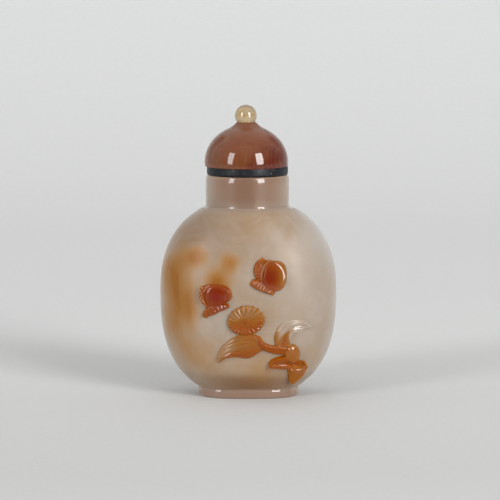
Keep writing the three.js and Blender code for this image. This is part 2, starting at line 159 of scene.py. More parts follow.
# %% Outline of the blank
FOOT_HALF_WIDTH = 11.4
FOOT_HALF_DEPTH = 8.66
FOOT_RING_WIDTH = 2.3
FOOT_RING_FLAT = 1.0
FOOT_RING_BEVEL = (0.15, 0.1)
FOOT_EDGE = 0.5
FOOT_WALL_Z = 1.4
FOOT_TAPER_Z = 1.85
FOOT_WAIST_Z = 2.25
FOOT_WAIST_STEP = 0.14
FOOT_FLARE = 0.2
RECESS_DEPTH = 0.6
NECK_GAP = 0.25
NECK_INSET = 0.05
NECK_FILLET = 0.3
NECK_FILLET_TURN = (235, 180)
NECK_WALL_START = 1.0
LIP_Z = 50.2
LIP_RADIUS = 9.1
LIP_EASE = 1.25
BORE_RADIUS = 4.1
BORE_EDGE = 0.25
BORE_START = 2.0
BORE_END = 1.0
CAVITY_HALF_WIDTH = 16.4
CAVITY_HALF_DEPTH = 10.9
CAVITY_FLOOR_Z = 5.6
CAVITY_ROOF_Z = 41.2


def arc(centre, radii, start, end, steps=6):
    """Points on an arc, by the angles in degrees at which it starts and ends."""
    angles = np.radians(np.linspace(start, end, steps))
    return [(centre[0] + radii[0] * math.cos(a), centre[1] + radii[1] * math.sin(a)) for a in angles]


def eased_levels(start, end, count):
    """Levels from start to end, crowded towards the end, without the start itself."""
    return start + (end - start) * np.sin(np.linspace(0, math.pi / 2, count + 1)[1:])


def foot_outline():
    inner = FOOT_HALF_WIDTH - FOOT_RING_WIDTH
    recess = [(0, RECESS_DEPTH), (inner / 2, RECESS_DEPTH), (inner - RECESS_DEPTH, RECESS_DEPTH)]
    ring = [(inner - FOOT_RING_BEVEL[0], FOOT_RING_BEVEL[1]), (inner, 0), (inner + FOOT_RING_FLAT, 0)]
    edge = arc((FOOT_HALF_WIDTH - FOOT_EDGE, FOOT_EDGE), (FOOT_EDGE, FOOT_EDGE), -90, 0)
    wall = [(FOOT_HALF_WIDTH, FOOT_WALL_Z), (FOOT_HALF_WIDTH - FOOT_WAIST_STEP / 3, FOOT_TAPER_Z)]
    waist = (FOOT_HALF_WIDTH - FOOT_WAIST_STEP, FOOT_WAIST_Z)
    flare = (FOOT_HALF_WIDTH, FOOT_WAIST_Z + FOOT_FLARE)
    return recess + ring + edge + wall + [waist, flare]


def body_outline(rings=36):
    below = eased_levels(EQUATOR_Z, BODY_START_Z, rings)[::-1]
    above = eased_levels(EQUATOR_Z, NECK_START_Z - NECK_GAP, rings)
    return [(float(body_half_width(z)), float(z)) for z in [*below, EQUATOR_Z, *above]]


def neck_outline():
    wall_radius = NECK_RADIUS - NECK_INSET
    fillet_centre = (wall_radius + NECK_FILLET, NECK_START_Z + NECK_FILLET)
    fillet = arc(fillet_centre, (NECK_FILLET, NECK_FILLET), *NECK_FILLET_TURN)
    levels = np.linspace(NECK_START_Z + NECK_WALL_START, LIP_Z - LIP_EASE, 5)[:-1]
    wall = [(wall_radius, float(z)) for z in levels]
    lip = arc((LIP_RADIUS, LIP_Z - LIP_EASE), (wall_radius - LIP_RADIUS, LIP_EASE), 0, 90, 12)
    mouth = arc((BORE_RADIUS + BORE_EDGE, LIP_Z - BORE_EDGE), (-BORE_EDGE, BORE_EDGE), 90, 0)
    return fillet + wall + lip + [((LIP_RADIUS + mouth[0][0]) / 2, LIP_Z)] + mouth


def cavity_half(widest, z):
    return egg_half(widest, BORE_RADIUS, CAVITY_ROOF_Z, 0, CAVITY_FLOOR_Z, z)


def hollow_outline(rings=18):
    bore_levels = np.linspace(LIP_Z - BORE_START, CAVITY_ROOF_Z + BORE_END, 5)
    bore = [(BORE_RADIUS, float(z)) for z in bore_levels]
    above = eased_levels(EQUATOR_Z, CAVITY_ROOF_Z, rings)[::-1]
    below = eased_levels(EQUATOR_Z, CAVITY_FLOOR_Z, rings)
    levels = [*above, EQUATOR_Z, *below]
    return bore + [(float(cavity_half(CAVITY_HALF_WIDTH, z)), float(z)) for z in levels]


blank_outline = foot_outline() + body_outline() + neck_outline() + hollow_outline()
print("outline points:", len(blank_outline))

# %% [markdown]
# Spin turns the outline into a round blank. A round blank is not a snuff bottle yet: each ring is
# then pressed to its own depth, as a cutter grinds the two broad faces flat, and the neck is
# nudged a hair to the left, where the real one stands.

# %% Spin and flatten the blank
BLANK_SECTORS = 144
MERGE_DISTANCE = 1e-5
FLOOR_MARGIN = 0.01
WALL_MARGIN = 0.5


def spin_outline(outline, sectors):
    """A bmesh turned from an outline of (radius, level), closed and facing outwards."""
    mesh = bmesh.new()
    chain = [mesh.verts.new((radius, 0, level)) for radius, level in outline]
    edges = [mesh.edges.new(pair) for pair in zip(chain, chain[1:])]
    turn = dict(cent=(0, 0, 0), axis=(0, 0, 1), angle=math.tau, steps=sectors, use_merge=True)
    bmesh.ops.spin(mesh, geom=chain + edges, **turn)
    bmesh.ops.remove_doubles(mesh, verts=mesh.verts, dist=MERGE_DISTANCE)
    bmesh.ops.recalc_face_normals(mesh, faces=mesh.faces)
    return mesh


def outer_depth_share(z):
    foot = FOOT_HALF_DEPTH / FOOT_HALF_WIDTH
    level = np.clip(z, BODY_START_Z, NECK_START_Z)
    body = body_half_depth(level) / body_half_width(level)
    return np.where(z < BODY_START_Z, foot, np.where(z < NECK_START_Z, body, 1.0))


def inner_depth_share(z):
    level = np.clip(z, CAVITY_FLOOR_Z + FLOOR_MARGIN, CAVITY_ROOF_Z)
    share = cavity_half(CAVITY_HALF_DEPTH, level) / cavity_half(CAVITY_HALF_WIDTH, level)
    return np.where(z > CAVITY_ROOF_Z, 1.0, share)


def oval_share(value, z):
    """Sine or cosine bent so that the section is squarer than an ellipse."""
    return np.sign(value) * np.abs(value) ** (2 / section_power(z))


def coordinates(mesh):
    return np.array([vert.co for vert in mesh.verts])


def move_to(mesh, places):
    for vert, place in zip(mesh.verts, places):
        vert.co = place


def is_outside(points):
    """True for the verts of the outer wall of a round blank, false for the hollow."""
    radius = np.hypot(points[:, 0], points[:, 1])
    z = points[:, 2]
    near_cavity = radius < cavity_half(CAVITY_HALF_WIDTH, z) + WALL_MARGIN
    in_cavity = (z > CAVITY_FLOOR_Z - FLOOR_MARGIN) & near_cavity
    in_bore = (z > CAVITY_ROOF_Z) & (radius < BORE_RADIUS + WALL_MARGIN)
    return ~(in_cavity | in_bore)


bottle_mesh = spin_outline(blank_outline, BLANK_SECTORS)
round_places = coordinates(bottle_mesh)
outside = is_outside(round_places)
depth_share = np.where(
    outside, outer_depth_share(round_places[:, 2]), inner_depth_share(round_places[:, 2])
)
level = round_places[:, 2]
radius = np.hypot(round_places[:, 0], round_places[:, 1])
turn = np.arctan2(round_places[:, 1], round_places[:, 0])
oval_places = round_places.copy()
oval_places[:, 0] = middle_x(level) + radius * oval_share(np.cos(turn), level)
oval_places[:, 1] = depth_share * radius * oval_share(np.sin(turn), level)
move_to(bottle_mesh, oval_places)
print("blank:", len(bottle_mesh.verts), "verts,", int(outside.sum()), "of them outside")

# %% [markdown]
# The carving is relief: every figure stands about a millimetre proud of the ground. We describe it
# as a height over the front, a function of x and z, built from two kinds of carved form. A blade
# has a spine and its own width on each side of it, as a leaf or a wing has. A boss is an oval with
# a domed top, as a seed head or a knot in a branch has. The same forms carry the colour of the
# russet skin, because each figure was cut where the skin had its own tone, and their polish, which
# is highest on the leaves, the ribbed wings and the knobs of the branch.

# %% Carved forms
EDGE_SHARE = 0.4
CROWN_POWER = 2.4
EDGE_RUN = 0.26
SPINE_STEPS = 90
END_SQUASH = 3.0
SMOOTH_GLOSS = 0.45
SATIN_GLOSS = 0.6
FULL_GLOSS = 1.0


def along(stops, t):
    """Values that run smoothly through evenly spaced stops, by the Catmull-Rom rule."""
    stops = np.asarray(stops, float)
    place = np.clip(t, 0, 1) * (len(stops) - 1)
    index = np.minimum(place.astype(int), len(stops) - 2)
    u = place - index
    if stops.ndim > 1:
        u = u[:, None]
    before = stops[np.maximum(index - 1, 0)]
    start, end = stops[index], stops[index + 1]
    after = stops[np.minimum(index + 2, len(stops) - 1)]
    slope_in, slope_out = (end - before) / 2, (after - start) / 2
    cubic = (2 * start - 2 * end + slope_in + slope_out) * u**3
    square = (-3 * start + 3 * end - 2 * slope_in - slope_out) * u**2
    return cubic + square + slope_in * u + start


def crown(share, power=CROWN_POWER):
    return np.sqrt(np.clip(1 - np.abs(share) ** power, 0, 1))


def edge_rise(inside):
    """0 at the outline of a figure, 1 a short run inside it."""
    return smooth_step(0, EDGE_RUN, inside)


def blade(x, z, spine, left, right):
    """How far along a blade each point is, how far across it, and how far inside its outline."""
    line = along(spine, np.linspace(0, 1, SPINE_STEPS))
    start, step = line[:-1], np.diff(line, axis=0)
    offset = np.stack([x, z], 1)[:, None, :] - start[None]
    share = np.clip((offset * step).sum(2) / (step**2).sum(1), 0, 1)
    gap = offset - share[..., None] * step
    nearest = np.hypot(gap[..., 0], gap[..., 1]).argmin(1)
    row = np.arange(len(x))
    t = (nearest + share[row, nearest]) / (SPINE_STEPS - 1)
    gap = gap[row, nearest]
    way = step[nearest] / np.linalg.norm(step[nearest], axis=1, keepdims=True)
    side = gap[:, 0] * way[:, 1] - gap[:, 1] * way[:, 0]
    distance = np.hypot(side, END_SQUASH * (gap * way).sum(1))
    half = np.where(side < 0, along(left, t), along(right, t))
    return t, np.sign(side) * distance / half, half - distance


def boss(x, z, centre, half_width, half_height, tilt, power):
    """Share of the way out to the edge of a boss, and distance inside that edge."""
    dx, dz = x - centre[0], z - centre[1]
    u = (dx * math.cos(tilt) + dz * math.sin(tilt)) / half_width
    v = (dz * math.cos(tilt) - dx * math.sin(tilt)) / half_height
    share = (np.abs(u) ** power + np.abs(v) ** power) ** (1 / power)
    return share, (1 - share) * min(half_width, half_height)


def flutes(t, count, depth):
    """Grooves side by side along a blade."""
    return depth * (1 - np.sqrt(np.abs(np.sin(np.pi * count * t))))


class Relief:
    """The carved forms laid over the points of the front, with the tone and polish of their skin."""

    def __init__(self, x, z):
        self.x, self.z = x, z
        self.height = np.zeros_like(x)
        self.amber = np.zeros_like(x)
        self.crimson = np.zeros_like(x)
        self.gloss = np.zeros_like(x)

    def lay(self, inside, height, amber, crimson, blend=0.03, gloss=SMOOTH_GLOSS):
        """The taller form wins, with a soft seam where two forms are within blend of each other."""
        share = np.clip(0.5 + (height - self.height) / (2 * blend), 0, 1)
        share = np.where(self.height > 0, share, 1.0) * (inside > 0)
        seam = np.where(self.height > 0, blend * share * (1 - share), 0.0)
        self.height = self.height + share * (height - self.height) + seam
        self.amber = self.amber + share * (amber - self.amber)
        self.crimson = self.crimson + share * (crimson - self.crimson)
        self.gloss = self.gloss + share * (gloss - self.gloss)


def rounded(share, power=CROWN_POWER):
    """Height across a form, from 1 along its middle down to a steep edge."""
    return EDGE_SHARE + (1 - EDGE_SHARE) * crown(share, power)


def dome(relief, centre, half, height, amber, crimson, tilt=0.0, power=2.0, flat=CROWN_POWER, **surface):
    share, inside = boss(relief.x, relief.z, centre, half[0], half[1], tilt, power)
    relief.lay(inside, height * rounded(share, flat) * edge_rise(inside), amber, crimson, **surface)


def limb(relief, spine, left, right, height, amber, crimson, flat=CROWN_POWER, **surface):
    _, across, inside = blade(relief.x, relief.z, spine, left, right)
    relief.lay(inside, height * rounded(across, flat) * edge_rise(inside), amber, crimson, **surface)


print("carved forms ready")

# %% [markdown]
# The chrysanthemum head is an oval with narrow petals that run out from an eye a little off its
# middle. Each petal is a rounded rib with a groove on either side, and the rim is scalloped where
# the petals end. The skin is thin over its upper half, so it is paler there.

# %% Chrysanthemum
FLOWER_CENTRE = np.array((-0.5, 18.65))
FLOWER_HALF = np.array((4.25, 3.45))
FLOWER_TILT = 0.16
FLOWER_EYE = np.array((-0.95, 18.2))
FLOWER_EYE_SHARE = 0.17
FLOWER_HEIGHT = 1.0
FLOWER_BOWL = 0.45
FLOWER_EYE_LIFT = 0.12
PETALS = 22
PETAL_GROOVE = 0.3
PETAL_SCALLOP = 0.06
PETAL_TIP = 0.87
PETAL_TIP_REACH = 0.08
PETAL_TIP_LIFT = 0.08
GROOVE_ROUNDNESS = 0.95
GROOVE_START_RUN = 0.2
FLOWER_HEART_RUN = (0.4 * FLOWER_EYE_SHARE, 2 * FLOWER_EYE_SHARE)
FLOWER_LOW_RUN = (-0.55, 0.35)
FLOWER_AMBER = 0.42
FLOWER_AMBER_GAIN = 0.53
GROOVE_PALENESS = 0.2
FLOWER_LOW_CRIMSON = 0.16
FLOWER_HEART_CRIMSON = 0.1


def chrysanthemum(relief):
    turn = np.array([[math.cos(FLOWER_TILT), math.sin(FLOWER_TILT)],
                     [-math.sin(FLOWER_TILT), math.cos(FLOWER_TILT)]])
    points = (np.stack([relief.x, relief.z], 1) - FLOWER_CENTRE) @ turn.T / FLOWER_HALF
    eye = (FLOWER_EYE - FLOWER_CENTRE) @ turn.T / FLOWER_HALF
    out = points - eye
    distance = np.maximum(np.linalg.norm(out, axis=1), 1e-6)
    toward = (out / distance[:, None]) @ eye
    rim = -toward + np.sqrt(toward**2 + 1 - eye @ eye)
    share = distance / rim
    phase = np.arctan2(out[:, 1], out[:, 0]) * PETALS / math.tau
    beside = np.abs(2 * (phase - np.floor(phase)) - 1)
    inside = (1 - PETAL_SCALLOP * beside**2 - share) * FLOWER_HALF.min()
    rib = PETAL_GROOVE * (1 - np.sqrt(1 - GROOVE_ROUNDNESS * beside**2))
    rib = rib * smooth_step(FLOWER_EYE_SHARE, FLOWER_EYE_SHARE + GROOVE_START_RUN, share)
    tip = PETAL_TIP_LIFT * np.exp(-(((share - PETAL_TIP) / PETAL_TIP_REACH) ** 2)) * (1 - beside**2)
    lift = FLOWER_HEIGHT * rounded(share**2) - FLOWER_BOWL * (1 - share) ** 2 - rib + tip
    heart = 1 - smooth_step(*FLOWER_HEART_RUN, share)
    lift = lift * edge_rise(inside) + FLOWER_EYE_LIFT * heart
    low = 1 - smooth_step(*FLOWER_LOW_RUN, points[:, 1])
    amber = FLOWER_AMBER + FLOWER_AMBER_GAIN * np.maximum(low, heart)
    amber = np.clip(amber - GROOVE_PALENESS * beside**2 * (1 - low), 0, 1)
    crimson = FLOWER_LOW_CRIMSON * low + FLOWER_HEART_CRIMSON * heart
    relief.lay(inside, lift, amber, crimson, gloss=SATIN_GLOSS)


print("petals:", PETALS)

# %% [markdown]
# Leaves and the branch are blades. A leaf has a groove along its midrib and slanting veins, with
# the blade puffed up a little between them. The right leaf was cut past the skin into the clear
# stone, so its colour fades out from the stalk to the tip. The branch is a chain of limbs that
# swells into a knot and folds back under itself.

# %% Leaves and branch
MIDRIB_WIDTH = 0.14
MIDRIB_DEPTH = 0.26
VEIN_DEPTH = 0.24
VEIN_DRIFT = 1.1
VEIN_START_RUN = (0.05, 0.3)
LEFT_LEAF_LOWER_RUN = (-0.3, 0.1)
LEFT_LEAF_STALK_RUN = (0.0, 0.6)
LEFT_LEAF_STALK_SHARE = 0.6
LEFT_LEAF_TIP_RUN = (0.65, 0.95)
LEFT_LEAF_AMBER = 0.3
LEFT_LEAF_AMBER_GAIN = 0.66
LEFT_LEAF_CRIMSON = 0.08
RIGHT_LEAF_FADE_ALONG = 1.4
RIGHT_LEAF_FADE_ACROSS = 0.6
RIGHT_LEAF_FADE_SIDE = 0.2
RIGHT_LEAF_STALK_RUN = (0.15, 0.95)
RIGHT_LEAF_STALK_AMBER = 1.1
RIGHT_LEAF_RIM_LENGTH = (0.15, 0.55)
RIGHT_LEAF_RIM_SIDE = (0.4, 0.8)
RIGHT_LEAF_RIM_AMBER = 0.6
BRANCH_BLEND = 0.35
ELBOW_BLEND = 0.5
FLAT_BRANCH = 6.0
BED_HEIGHT = 0.6


def leaf(relief, spine, left, right, height, veins, tone):
    t, across, inside = blade(relief.x, relief.z, spine, left, right)
    vein = np.abs(np.sin(np.pi * (veins * np.abs(across) - VEIN_DRIFT * t)))
    fold = VEIN_DEPTH * (np.sqrt(vein) - 1) * smooth_step(*VEIN_START_RUN, np.abs(across))
    midrib = MIDRIB_DEPTH * np.exp(-((across / MIDRIB_WIDTH) ** 2))
    lift = (height * rounded(across) + fold - midrib) * edge_rise(inside)
    relief.lay(inside, lift, *tone(t, across), gloss=FULL_GLOSS)


def left_leaf_tone(t, across):
    lower = 1 - smooth_step(*LEFT_LEAF_LOWER_RUN, across)
    near_stalk = 1 - smooth_step(*LEFT_LEAF_STALK_RUN, t)
    before_tip = 1 - smooth_step(*LEFT_LEAF_TIP_RUN, t)
    thick = np.maximum(lower * before_tip, LEFT_LEAF_STALK_SHARE * near_stalk)
    amber = LEFT_LEAF_AMBER + LEFT_LEAF_AMBER_GAIN * thick
    return np.clip(amber, 0, 1), LEFT_LEAF_CRIMSON * lower


def right_leaf_tone(t, across):
    beside = np.abs(across - RIGHT_LEAF_FADE_SIDE)
    from_stalk = RIGHT_LEAF_FADE_ALONG * t + RIGHT_LEAF_FADE_ACROSS * beside
    stalk = 1 - smooth_step(*RIGHT_LEAF_STALK_RUN, from_stalk)
    rim = (1 - smooth_step(*RIGHT_LEAF_RIM_LENGTH, t)) * smooth_step(*RIGHT_LEAF_RIM_SIDE, -across)
    return np.clip(RIGHT_LEAF_STALK_AMBER * stalk + RIGHT_LEAF_RIM_AMBER * rim, 0, 1), 0 * t


def foliage(relief):
    leaf(
        relief,
        spine=[(2.7, 12.7), (-0.1, 12.4), (-3.5, 11.7), (-5.6, 10.4), (-6.7, 8.9)],
        left=[1.2, 2.4, 1.6, 0.8, 0.15],
        right=[2.4, 3.5, 2.6, 1.4, 0.15],
        height=0.75,
        veins=4,
        tone=left_leaf_tone,
    )
    leaf(
        relief,
        spine=[(7.6, 12.3), (7.7, 14.5), (9.0, 16.5), (11.5, 17.3), (14.2, 16.8)],
        left=[1.3, 2.0, 2.2, 1.4, 0.15],
        right=[1.6, 1.9, 1.5, 1.5, 0.15],
        height=0.7,
        veins=3,
        tone=right_leaf_tone,
    )
    limb(
        relief,
        spine=[(2.3, 14.9), (2.9, 13.4), (4.6, 12.25), (6.6, 11.85), (8.6, 11.7)],
        left=[0.3, 0.6, 0.9, 1.0, 1.1],
        right=[0.3, 0.8, 0.9, 1.0, 1.0],
        height=0.9,
        amber=1.0,
        crimson=0.16,
        flat=FLAT_BRANCH,
        blend=BRANCH_BLEND,
    )
    limb(
        relief,
        spine=[(5.2, 8.7), (7.6, 8.8), (10.0, 8.7), (11.8, 8.5)],
        left=[0.5, 0.9, 1.2, 0.6],
        right=[0.5, 0.9, 1.3, 0.8],
        height=BED_HEIGHT,
        amber=0.95,
        crimson=0.2,
        blend=BRANCH_BLEND,
    )
    limb(
        relief,
        spine=[(9.5, 4.3), (10.1, 5.4), (10.7, 6.4), (11.3, 7.4)],
        left=[0.75, 1.4, 2.4, 1.9],
        right=[0.7, 1.25, 1.6, 1.6],
        height=1.2,
        amber=0.7,
        crimson=0.04,
        flat=2.0,
        blend=BRANCH_BLEND,
    )
    limb(
        relief,
        spine=[(4.8, 8.3), (6.6, 8.3), (8.4, 8.1), (9.9, 7.6)],
        left=[0.6, 0.75, 0.8, 0.6],
        right=[0.6, 0.8, 0.8, 0.5],
        height=1.2,
        amber=0.9,
        crimson=0.1,
        blend=BRANCH_BLEND,
        gloss=FULL_GLOSS,
    )
    limb(
        relief,
        spine=[(9.2, 7.5), (10.5, 7.2), (11.7, 7.5), (12.35, 8.2), (12.15, 9.0)],
        left=[0.4, 0.6, 0.65, 0.5, 0.25],
        right=[0.4, 0.8, 0.85, 0.7, 0.3],
        height=1.4,
        amber=0.76,
        crimson=0.04,
        blend=BRANCH_BLEND,
        gloss=FULL_GLOSS,
    )
    limb(
        relief,
        spine=[(9.6, 10.0), (8.4, 9.85), (6.9, 9.55), (5.6, 9.25), (4.8, 8.5)],
        left=[0.9, 0.75, 0.6, 0.6, 0.5],
        right=[0.9, 0.8, 0.7, 0.6, 0.5],
        height=1.05,
        amber=0.95,
        crimson=0.1,
        flat=FLAT_BRANCH,
        blend=0.15,
    )
    dome(
        relief,
        centre=(9.7, 10.95),
        half=(1.85, 2.1),
        height=1.25,
        amber=0.58,
        crimson=0.03,
        blend=ELBOW_BLEND,
        gloss=FULL_GLOSS,
    )


print("leaf and branch forms ready")

# %% [markdown]
# Each butterfly is seen from the side: one big wing as a smooth dome, a ribbed front wing beside
# it and a fluted hind wing under it. The skin was thickest here, so these two are the reddest.

# %% Butterflies
WING_POWER = 2.6
FLAT_WING = 5.0
SHARP_WING = 9.0
LEFT_WING_CENTRE = (-7.2, 24.15)
LEFT_WING_HALF = (2.45, 2.4)
LEFT_WING_HEIGHT = 1.2
LEFT_WING_RIB_DEPTH = 0.1
LEFT_WING_RIB_LEAN = 0.08
LEFT_WING_RIBS_PER_MM = 2.0
LEFT_WING_RIB_RUN = (22.6, 23.8)
RIGHT_WING_CENTRE = (5.85, 28.6)
RIGHT_WING_HALF = (2.7, 3.4)
RIGHT_WING_THIN_RUN = (5.6, 8.0)
RIGHT_WING_THIN_PALENESS = 0.6
RIGHT_WING_CORNER_RUN = (0.7, 1.3)


def wing(relief, spine, left, right, height, ribs, rib_depth, amber, crimson):
    t, across, inside = blade(relief.x, relief.z, spine, left, right)
    lift = (height * rounded(across) - flutes(t, ribs, rib_depth)) * edge_rise(inside)
    relief.lay(inside, lift, amber, crimson, gloss=FULL_GLOSS)


def red_patch(relief, centre, reach, edge, gain):
    """How red the skin is: most in the middle of a round patch, fading outwards to the edge value."""
    distance = (relief.x - centre[0]) ** 2 + (relief.z - centre[1]) ** 2
    return edge + gain * np.exp(-distance / reach**2)


def left_butterfly(relief):
    red = red_patch(relief, centre=(-6.9, 24.1), reach=2.8, edge=0.1, gain=0.85)
    limb(
        relief,
        spine=[(-7.2, 25.8), (-7.3, 24.3), (-7.6, 22.8), (-7.9, 21.1), (-9.4, 19.6)],
        left=[3.1, 3.5, 2.3, 1.3, 0.4],
        right=[2.9, 3.5, 3.0, 2.0, 0.5],
        height=0.8,
        amber=1.0,
        crimson=red,
    )
    dome(
        relief,
        centre=(-9.5, 19.9),
        half=(0.8, 0.85),
        height=0.75,
        amber=0.8,
        crimson=0.0,
        blend=0.15,
    )
    wing(
        relief,
        spine=[(-9.5, 20.4), (-8.2, 20.65), (-6.8, 21.25), (-5.4, 21.7), (-4.4, 21.95)],
        left=[0.8, 1.3, 1.0, 0.75, 0.55],
        right=[1.0, 1.0, 0.8, 0.7, 0.45],
        height=0.95,
        ribs=7,
        rib_depth=0.3,
        amber=1.0,
        crimson=red + 0.05,
    )
    wing(
        relief,
        spine=[(-10.0, 26.1), (-10.4, 25.1), (-10.4, 23.9), (-10.0, 22.8), (-9.2, 21.9)],
        left=[0.5, 0.55, 0.55, 0.55, 0.4],
        right=[0.5, 0.6, 0.6, 0.55, 0.4],
        height=1.05,
        ribs=6,
        rib_depth=0.26,
        amber=0.8,
        crimson=0.5 * red,
    )
    dome(
        relief,
        centre=(-4.85, 24.4),
        half=(1.2, 1.65),
        height=1.05,
        amber=1.0,
        crimson=red,
        flat=FLAT_WING,
        blend=0.2,
        gloss=FULL_GLOSS,
    )
    share, inside = boss(relief.x, relief.z, LEFT_WING_CENTRE, *LEFT_WING_HALF, 0.0, WING_POWER)
    leaning = relief.x + LEFT_WING_RIB_LEAN * (relief.z - EQUATOR_Z)
    ribs = flutes(leaning, LEFT_WING_RIBS_PER_MM, LEFT_WING_RIB_DEPTH)
    ribs = ribs * (1 - smooth_step(*LEFT_WING_RIB_RUN, relief.z))
    lift = (LEFT_WING_HEIGHT * rounded(share, FLAT_WING) - ribs) * edge_rise(inside)
    relief.lay(inside, lift, 1.0, red, blend=0.35, gloss=SATIN_GLOSS)


def right_butterfly(relief):
    red = red_patch(relief, centre=(4.6, 28.2), reach=2.6, edge=0.05, gain=0.8)
    limb(
        relief,
        spine=[(4.4, 31.9), (4.6, 30.0), (4.8, 28.2), (4.6, 26.6), (5.2, 25.0)],
        left=[0.7, 2.6, 2.8, 2.6, 0.5],
        right=[0.9, 2.6, 2.8, 2.6, 0.5],
        height=0.75,
        amber=1.0,
        crimson=red,
    )
    wing(
        relief,
        spine=[(3.4, 32.4), (2.4, 31.2), (2.1, 29.8), (2.2, 28.2)],
        left=[0.6, 0.95, 0.95, 0.5],
        right=[0.5, 0.85, 0.9, 0.6],
        height=0.9,
        ribs=7,
        rib_depth=0.28,
        amber=1.0,
        crimson=red,
    )
    thin = smooth_step(*RIGHT_WING_THIN_RUN, relief.x)
    right = (relief.x - RIGHT_WING_CENTRE[0]) / RIGHT_WING_HALF[0]
    up = (relief.z - RIGHT_WING_CENTRE[1]) / RIGHT_WING_HALF[1]
    corner = smooth_step(*RIGHT_WING_CORNER_RUN, right + up)
    dome(
        relief,
        centre=RIGHT_WING_CENTRE,
        half=RIGHT_WING_HALF,
        height=1.2,
        amber=1.0 - RIGHT_WING_THIN_PALENESS * thin,
        crimson=red * (1 - thin),
        tilt=-0.06,
        power=WING_POWER,
        flat=SHARP_WING + (CROWN_POWER - SHARP_WING) * corner,
        blend=0.1,
        gloss=FULL_GLOSS,
    )
    limb(
        relief,
        spine=[(4.6, 32.0), (3.6, 31.0), (3.15, 29.9), (2.85, 28.8), (2.85, 27.8)],
        left=[0.25, 0.32, 0.34, 0.3, 0.25],
        right=[0.25, 0.32, 0.34, 0.3, 0.25],
        height=1.05,
        amber=0.3,
        crimson=0.08,
    )
    wing(
        relief,
        spine=[(0.7, 27.25), (2.0, 26.75), (3.3, 26.0), (4.5, 25.4), (5.7, 24.6)],
        left=[0.7, 1.1, 0.95, 0.85, 0.4],
        right=[0.7, 1.1, 0.95, 0.8, 0.4],
        height=1.0,
        ribs=8,
        rib_depth=0.3,
        amber=0.85,
        crimson=0.5 * red,
    )


def carve(x, z):
    relief = Relief(x, z)
    foliage(relief)
    chrysanthemum(relief)
    left_butterfly(relief)
    right_butterfly(relief)
    return relief


print("butterfly forms ready")

# %% [markdown]
# The ground stays coarse, because it is smooth, and only the carved part of the front is cut
# finer. Two rounds of subdividing do it: first everything near a figure, then the figures with a
# narrow rim. After each round the new verts are put back on the true oval, since subdividing leaves
# them on the flat of the old face.

# %% Fine mesh under the carving
NEAR_FIGURE = 0.9
CLOSE_TO_FIGURE = 0.3
CARVED_LOW_Z = 3.0
CARVED_HIGH_Z = 34.0
CARVED_Y = -4.0
SKIN_MARGIN = 0.6
DIRECTIONS = 8


def skin_depth(x, z):
    power = section_power(z)
    across = np.clip(np.abs(x / body_half_width(z)), 0, 1)
    return -body_half_depth(z) * (1 - across**power) ** (1 / power)


def on_carved_front(points):
    x, y, z = points.T
    front = (z > CARVED_LOW_Z) & (z < CARVED_HIGH_Z) & (y < CARVED_Y)
    return front & (y < skin_depth(x, z) + SKIN_MARGIN)


def near_figures(points, margin):
    """True for points of the front that have a carved figure within the margin."""
    near = on_carved_front(points)
    found = np.zeros(int(near.sum()), bool)
    for turn in np.linspace(0, math.tau, DIRECTIONS, endpoint=False):
        x = points[near, 0] + margin * math.cos(turn)
        z = points[near, 2] + margin * math.sin(turn)
        found |= carve(x, z).height > 0
    near[near] = found
    return near


def refine(mesh, margin, cuts):
    centres = np.array([face.calc_center_median() for face in mesh.faces])
    picked = near_figures(centres, margin)
    faces = [face for face, near in zip(mesh.faces, picked) if near]
    edges = list({edge for face in faces for edge in face.edges})
    bmesh.ops.subdivide_edges(mesh, edges=edges, cuts=cuts, use_grid_fill=True)
    points = coordinates(mesh)
    front = on_carved_front(points)
    points[front, 1] = skin_depth(points[front, 0], points[front, 2])
    move_to(mesh, points)


refine(bottle_mesh, NEAR_FIGURE, cuts=2)
refine(bottle_mesh, CLOSE_TO_FIGURE, cuts=2)
print("bottle:", len(bottle_mesh.verts), "verts under the carving")

# %% [markdown]
# Now the figures are raised: every vert of the front moves straight out of the ground by the
# height of the carving there. The same pass writes the skin's tone to the verts, as named numbers
# that the stone's material reads later. A light smoothing takes the last tool marks off, as
# polishing does.

# %% Raise the carving
NORMAL_STEP = 0.05
POLISHING = dict(factor=0.5, use_axis_x=True, use_axis_y=True, use_axis_z=True)


def skin_normal(x, z):
    slope_x = skin_depth(x + NORMAL_STEP, z) - skin_depth(x - NORMAL_STEP, z)
    slope_z = skin_depth(x, z + NORMAL_STEP) - skin_depth(x, z - NORMAL_STEP)
    normal = np.stack([slope_x, np.full_like(x, -2 * NORMAL_STEP), slope_z], 1)
    return normal / np.linalg.norm(normal, axis=1, keepdims=True)


plain_places = coordinates(bottle_mesh)
front = on_carved_front(plain_places)
carving = carve(plain_places[front, 0], plain_places[front, 2])
carved_places = plain_places.copy()
outwards = skin_normal(plain_places[front, 0], plain_places[front, 2])
carved_places[front] += outwards * carving.height[:, None]
move_to(bottle_mesh, carved_places)
tones = {name: np.zeros(len(plain_places)) for name in ("height", "amber", "crimson", "gloss")}
for name, values in tones.items():
    values[front] = getattr(carving, name)
bottle_mesh.verts.ensure_lookup_table()
raised_verts = [bottle_mesh.verts[i] for i in np.flatnonzero(tones["height"] > 0)]
bmesh.ops.smooth_vert(bottle_mesh, verts=raised_verts, **POLISHING)
print("raised verts:", len(raised_verts), "up to", round(float(carving.height.max()), 2), "mm")
